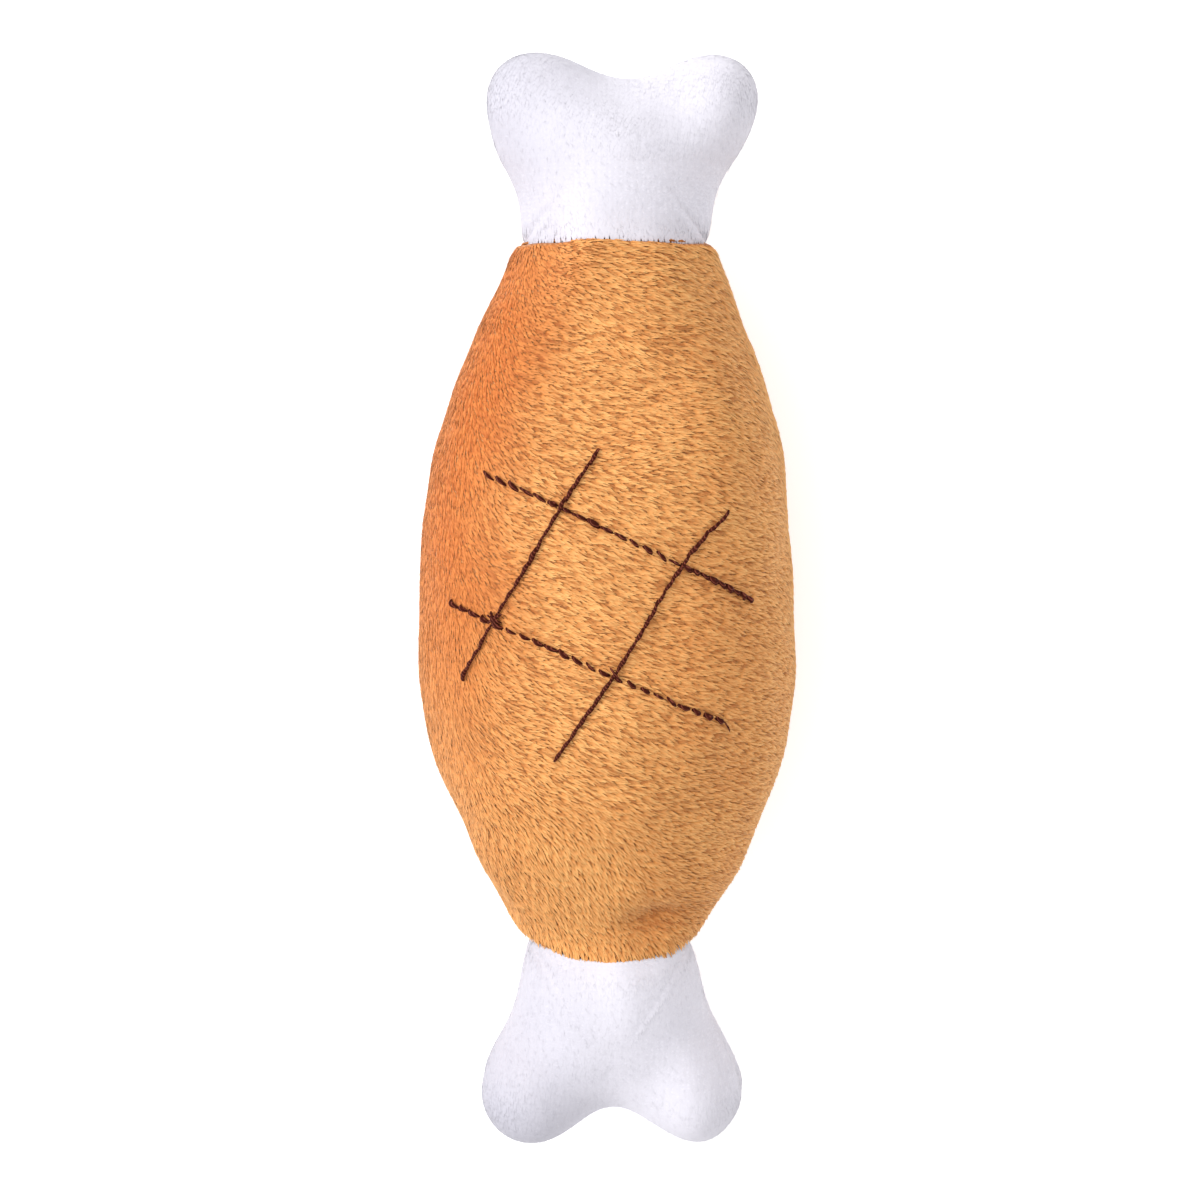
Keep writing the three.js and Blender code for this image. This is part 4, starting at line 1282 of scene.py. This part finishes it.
# Each loose stitch has a place, a turn in degrees from its line, a thickness and a shift past the line's end
loose_stitches = {
    "grill_line_left": [(crossings[2], 55, 0.9, 0), (crossings[2], -30, 0.85, 0), (crossings[2], 100, 0.7, 0)],
    "grill_line_lower": [(grill_paths["grill_line_lower"][-1], -28, 0.42, 1.1)],
    "grill_line_right": [(crossings[3], 70, 0.7, 0)],
}
uneven = np.random.default_rng(11)
for seed, (name, path) in enumerate(grill_paths.items()):
    over = name in ("grill_line_left", "grill_line_right")
    if name == "grill_line_upper":
        cut = np.searchsorted(path[:, 0], crossings[1, 0])
        parts = [even_steps(path[:cut], stitch_length), even_steps(path[cut:], thick_pitch)]
        places, ways = (np.vstack(both) for both in zip(*parts))
    else:
        places, ways = even_steps(path, stitch_length)
    bulk = uneven.uniform(0.8, 1.12, len(places))
    if name in thicker_from:
        starts, more = thicker_from[name]
        bulk += more * np.clip((places[:, 0] - starts) / thickens_over, 0, 1)
    places, ups = on_cloth(places)
    nearest = np.min([np.linalg.norm(places - crossing, axis=1) for crossing in crossings], axis=0)
    places = places + ups * (thread_rides + over * hop_height * np.clip(1 - nearest / hop_reach, 0, 1))[:, None]
    for at, angle, thin, forward in loose_stitches.get(name, ()):
        beside = np.argmin(np.linalg.norm(places - at, axis=1))
        way, up = ways[beside], ups[beside]
        turned = way * cos(radians(angle)) + np.cross(up, way) * sin(radians(angle))
        place = places[beside] + forward * (way + turned) + (0.25 if not forward else -0.2) * up
        places, ways, ups = np.vstack([places, place]), np.vstack([ways, turned]), np.vstack([ups, up])
        bulk = np.append(bulk, thin)
    sew(name, "brown_thread", long_bead if over else bead, places, ways, ups,
        slant=0.0 if over else -0.18, unevenness=0.16 if over else 0.22, seed=seed, bulk=bulk)

# %% [markdown]
# ## Seams
#
# Every seam is a row of lockstitches deep between two rolled rims, where the pile hides all but a glimpse. The toy
# was turned and stuffed through an opening in one side seam, which was closed by hand with a ladder stitch: rungs
# that cross from one rim to the other.

# %% Sew the seams and close the opening
seam_depth, seam_margin = 2.1, 2
bone_seam_turn, bone_seam_start = 2.35, 2.5
neck_depths = {"top": 1.8, "bottom": 2.0}
side_y = np.linspace(ends["bottom"]["seam_y"] + seam_margin, ends["top"]["seam_y"] - seam_margin, 300)
for hand, turn in (("right", 0.0), ("left", pi)):
    path = body_point(side_y, np.full_like(side_y, turn), seam_depth)
    places, ways = even_steps(path, stitch_length)
    sew(f"{hand}_side_seam_thread", "tan_thread", seam_stitch, places, ways,
        np.tile((cos(turn), 0, 0), (len(places), 1)))
for end_name, end in ends.items():
    turn = np.linspace(-bone_seam_turn, bone_seam_turn, 500)
    path = bone_point(end, turn, 0 * turn, seam_depth)
    path = path[end["side"] * (path[:, 1] - end["seam_y"]) > bone_seam_start]
    places, ways = even_steps(path, stitch_length)
    outer = bone_point(end, turn, 0 * turn, 0)
    ups = unit(np.stack([outer[np.argmin(np.linalg.norm(outer - p, axis=1))] - p for p in places]))
    sew(f"{end_name}_bone_seam_thread", "white_thread", seam_stitch, places, ways, ups)
    around = np.linspace(0, 2 * pi, 400)
    x = (end["half_width"] - neck_depths[end_name]) * np.cos(around)
    z = (end["half_depth"] - neck_depths[end_name]) * np.sin(around)
    middle = lean(end["seam_y"] + 0 * x)
    y = end["seam_y"] + end["side"] * end["bow"] * (1 - (x / end["half_width"]) ** 2)
    places, ways = even_steps(np.stack([middle + x, y, middle_z + z], -1), stitch_length)
    sew(f"{end_name}_neck_seam_thread", "tan_thread", seam_stitch, places, ways,
        unit((places - (middle[0], 0, middle_z)) * (1, 0, 1)))
closing_length, closing_pitch, rung_depth = 32, 2.6, 2.2
rung_count = round(closing_length / closing_pitch)
rung_y = belly_y + closing_length * ((np.arange(rung_count) + 0.5) / rung_count - 0.5)
rung_places = body_point(rung_y, 0 * rung_y, rung_depth)
lean_of_rung = 0.35 * (-1) ** np.arange(rung_count)
sew("closing_stitch", "tan_thread", rung, rung_places,
    np.stack([0 * rung_y, lean_of_rung, 1 + 0 * rung_y], -1), np.tile((1, 0, 0), (rung_count, 1)), unevenness=0.12)

# %% [markdown]
# ## Stuffing fibre
#
# The fillings start from their solids, so they keep the pocket round the squeaker and the slots for the seam
# allowances. The loose triangles are merged, a voxel remesh makes even faces, and slow waves press lumps into them
# as carded fibre has. Front and back filling become one soft mass.

# %% Stuff the toy
def mottled_group():
    tree, given, result = start_group("mottled", "ShaderNodeTree", {
        "Light": ("Color", (1, 1, 1, 1)), "Dark": ("Color", (0.8, 0.8, 0.8, 1)), "Scale": ("Float", 400.0),
        "Stretch": ("Float", 1.0), "Smooth": ("Float", 0.4), "Rough": ("Float", 0.9),
    }, {"Color": ("Color", None), "Roughness": ("Float", None), "Height": ("Float", None)})
    place = object_place(tree)
    scale = add(tree, "ShaderNodeCombineXYZ", {"X": 1.0, "Y": given.outputs["Stretch"], "Z": 1.0}).outputs[0]
    stretched = add(tree, "ShaderNodeVectorMath", {0: place, 1: scale}, operation="MULTIPLY").outputs[0]
    noise = add(tree, "ShaderNodeTexNoise", {"Vector": stretched, "Scale": given.outputs["Scale"], "Detail": 4.0})
    fac = spread(tree, noise.outputs["Fac"], 0.3, 0.7)
    tree.links.new(mix(tree, fac, given.outputs["Dark"], given.outputs["Light"]), result.inputs["Color"])
    rough = math(tree, "MULTIPLY_ADD", fac, math(tree, "SUBTRACT", given.outputs["Smooth"], given.outputs["Rough"]),
                 given.outputs["Rough"])
    tree.links.new(rough, result.inputs["Roughness"])
    tree.links.new(fac, result.inputs["Height"])
    return tree


mottled = mottled_group()


def mottled_material(name, light, dark, scale, stretch, smooth, rough, bump, settings):
    return group_material(name, mottled, {
        "Light": color(*light), "Dark": color(*dark), "Scale": scale, "Stretch": stretch, "Smooth": smooth,
        "Rough": rough,
    }, {**cloth_wiring, "Height": bump}, settings)


fibre = mottled_material("fibre_filling", (250, 249, 245), (222, 220, 214), 900.0, 0.35, 0.8, 1.0, (0.8, 0.0006),
                         {"Sheen Weight": 0.3})
felt = mottled_material("backing_cloth", (244, 244, 240), (220, 220, 214), 1600.0, 1.0, 0.85, 1.0, (0.5, 0.0002), {})
filling_room = -0.2
fillings = {}


def merged_copy(name, *node_names):
    joined = bmesh.new()
    for node_name in node_names:
        joined.from_mesh(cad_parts[node_name].data)
    bmesh.ops.remove_doubles(joined, verts=joined.verts, dist=0.002 * mm)
    mesh = bpy.data.meshes.new(name)
    joined.to_mesh(mesh)
    joined.free()
    mesh.materials.clear()
    made = bpy.data.objects.new(name, mesh)
    bpy.context.scene.collection.objects.link(made)
    return made


for name, nodes in {
    "body_filling": ("body_front_filling", "body_back_filling"),
    "top_bone_fibre": ("top_bone_filling",), "bottom_bone_fibre": ("bottom_bone_filling",),
}.items():
    mass = merged_copy(name, *nodes)
    even = mass.modifiers.new("even", "REMESH")
    even.mode, even.voxel_size = "VOXEL", 1.1 * mm
    mesh = final_mesh(mass)
    places, normals = points_of(mesh), normals_of(mesh)
    places -= (filling_room + np.maximum(dent(places), 0) + 0.25 * np.abs(small_lumps(places)))[:, None] * normals
    move_points(mesh, places)
    fillings[name] = (shown(name, mesh, fibre), nodes)
    print(name, len(mesh.polygons), "faces")

# %% [markdown]
# ## Backing and squeaker
#
# A felted backing keeps the embroidery flat from behind. It is laid out on the body's rule. The squeaker is a soft
# drum with a neck. The drum is turned from a profile, the neck and the bore are cylinders, and booleans join and
# hollow them.

# %% Cut the backing
backing_inset, backing_thickness = 1.4, 0.35
backing_low, backing_x, backing_y = 41.8, (-28.6, 27.4), (-25.6, 33.1)


def backing_sheet(columns=64, rows=66):
    across, along = np.meshgrid(np.linspace(0, 1, columns), np.linspace(0, 1, rows), indexing="ij")
    y = backing_y[0] + (backing_y[1] - backing_y[0]) * along
    half_width, half_depth = taper(y)
    rise = np.arcsin((backing_low - middle_z) / (half_depth - backing_inset))
    reach = (half_width - backing_inset) * np.cos(rise)
    left, right = np.maximum(backing_x[0], lean(y) - reach), np.minimum(backing_x[1], lean(y) + reach)
    x = left + (right - left) * across
    places = on_front(x, y, backing_inset)
    angle = np.arccos((x - lean(y)) / (half_width - backing_inset))
    places = body_point(y, angle, backing_inset + np.maximum(dent(places), 0))
    return places


grid = backing_sheet()
backing_faces = grid_quads(*grid.shape[:2])[:, [0, 3, 2, 1]]
patch = mesh_object("patch", grid.reshape(-1, 3), backing_faces)
wall = patch.modifiers.new("thickness", "SOLIDIFY")
wall.thickness, wall.offset = backing_thickness * mm, -1
backing = shown("felt_backing", final_mesh(patch), felt)

# %% Turn the squeaker
drum_radius, drum_half_height, drum_face, drum_wall = 21, 12, 11, 0.9
squeaker_neck_radius, squeaker_neck_end = 6.6, 29
squeaker_y = belly_y - 8
squeaker_place = np.array([float(lean(np.array(squeaker_y))), squeaker_y, middle_z])


def turned_drum(name, grow, segments=72, rim_steps=14):
    radius, half = drum_radius + grow, drum_half_height + grow
    turn = np.linspace(-pi / 2, pi / 2, rim_steps)
    profile = [(drum_face + (radius - drum_face) * cos(t), half * sin(t)) for t in turn]
    points = [(0, 0, -half)]
    around = np.linspace(0, 2 * pi, segments, endpoint=False)
    for r, z in profile:
        points += [(r * cos(a), r * sin(a), z) for a in around]
    points.append((0, 0, half))
    faces = [(0, 1 + (j + 1) % segments, 1 + j) for j in range(segments)]
    faces += ring_quads(len(profile) - 1, segments, first=1)
    top, last = 1 + (len(profile) - 1) * segments, len(points) - 1
    faces += [(top + j, top + (j + 1) % segments, last) for j in range(segments)]
    return mesh_object(name, np.array(points) + squeaker_place, faces)


def tube_along(name, radius, start, stop, segments=56):
    around = np.linspace(0, 2 * pi, segments, endpoint=False)
    points = [(radius * sin(a), y, radius * cos(a)) for y in (start, stop) for a in around]
    caps = [tuple(range(segments))[::-1], tuple(range(segments, 2 * segments))]
    return mesh_object(name, np.array(points) + squeaker_place, ring_quads(1, segments) + caps)


bladder = turned_drum("soft_bladder", 0)
tools = {
    "neck": (tube_along("neck", squeaker_neck_radius, 2, squeaker_neck_end), "UNION"),
    "hollow": (turned_drum("hollow", -drum_wall), "DIFFERENCE"),
    "bore": (tube_along("bore", squeaker_neck_radius - drum_wall, 1, squeaker_neck_end + 6), "DIFFERENCE"),
}
for key, (tool, operation) in tools.items():
    cut = bladder.modifiers.new(key, "BOOLEAN")
    cut.object, cut.operation, cut.solver = tool, operation, "EXACT"
bladder_mesh = final_mesh(bladder)
for tool, _ in tools.values():
    drop(tool)
soft_plastic = mottled_material("bladder_plastic", (240, 242, 240), (228, 231, 229), 120.0, 1.0, 0.38, 0.5,
                                (0.15, 0.0003), {"Subsurface Weight": 0.2, "Subsurface Scale": 0.002})
hard_plastic = mottled_material("holder_plastic", (246, 246, 244), (238, 238, 235), 200.0, 1.0, 0.3, 0.42,
                                (0.1, 0.0001), {"Coat Weight": 0.15})
film = mottled_material("reed_film", (232, 230, 220), (216, 213, 200), 260.0, 0.2, 0.22, 0.34, (0.1, 0.00005), {})
bladder = shown("soft_bladder", bladder_mesh, soft_plastic)
kept_solids = {"reed_holder_lower": hard_plastic, "reed_holder_upper": hard_plastic, "squeaker_reed": film}
for node, material in kept_solids.items():
    for material_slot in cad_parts[node].material_slots:
        material_slot.material = material
print("bladder faces:", len(bladder.data.polygons))

# %% [markdown]
# ## How the toy gives
#
# A squeeze presses the front towards the back. Nothing in a stuffed toy is hinged: the give is spread through its
# height. Two heights mark where the give starts, at the bone's middle, and ends, at the top of the belly. A soft
# piece that lies wholly below the start is tied to the back, and every other soft piece has its placement baked.

# %% Tie the low pieces to the back
give_starts, give_ends = (0, 0, 0.038), (0, 0, 0.061)


def soft_ride(thing):
    high = max(corner[2] for corner in thing.bound_box)
    if high > give_starts[2]:
        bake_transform(thing)
    else:
        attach(thing, "back")


for thing in (lock, hair, guide, bead, long_bead, seam_stitch, rung):
    drop(thing)
for name, cloth in cloths.items():
    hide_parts(f"{name}_panel")
    soft_ride(cloth)
for name, pile in piles.items():
    soft_ride(pile)
for name, (thread, slot) in threads.items():
    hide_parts(name)
    soft_ride(thread)
for name, (mass, nodes) in fillings.items():
    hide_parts(*nodes)
    soft_ride(mass)
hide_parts("embroidery_backing")
soft_ride(backing)
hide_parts("squeaker_bulb")
soft_ride(bladder)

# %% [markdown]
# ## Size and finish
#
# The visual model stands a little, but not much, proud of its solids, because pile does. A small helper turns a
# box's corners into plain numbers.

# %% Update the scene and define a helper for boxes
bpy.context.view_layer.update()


def plain(box):
    return [[float(x) for x in corner] for corner in box]
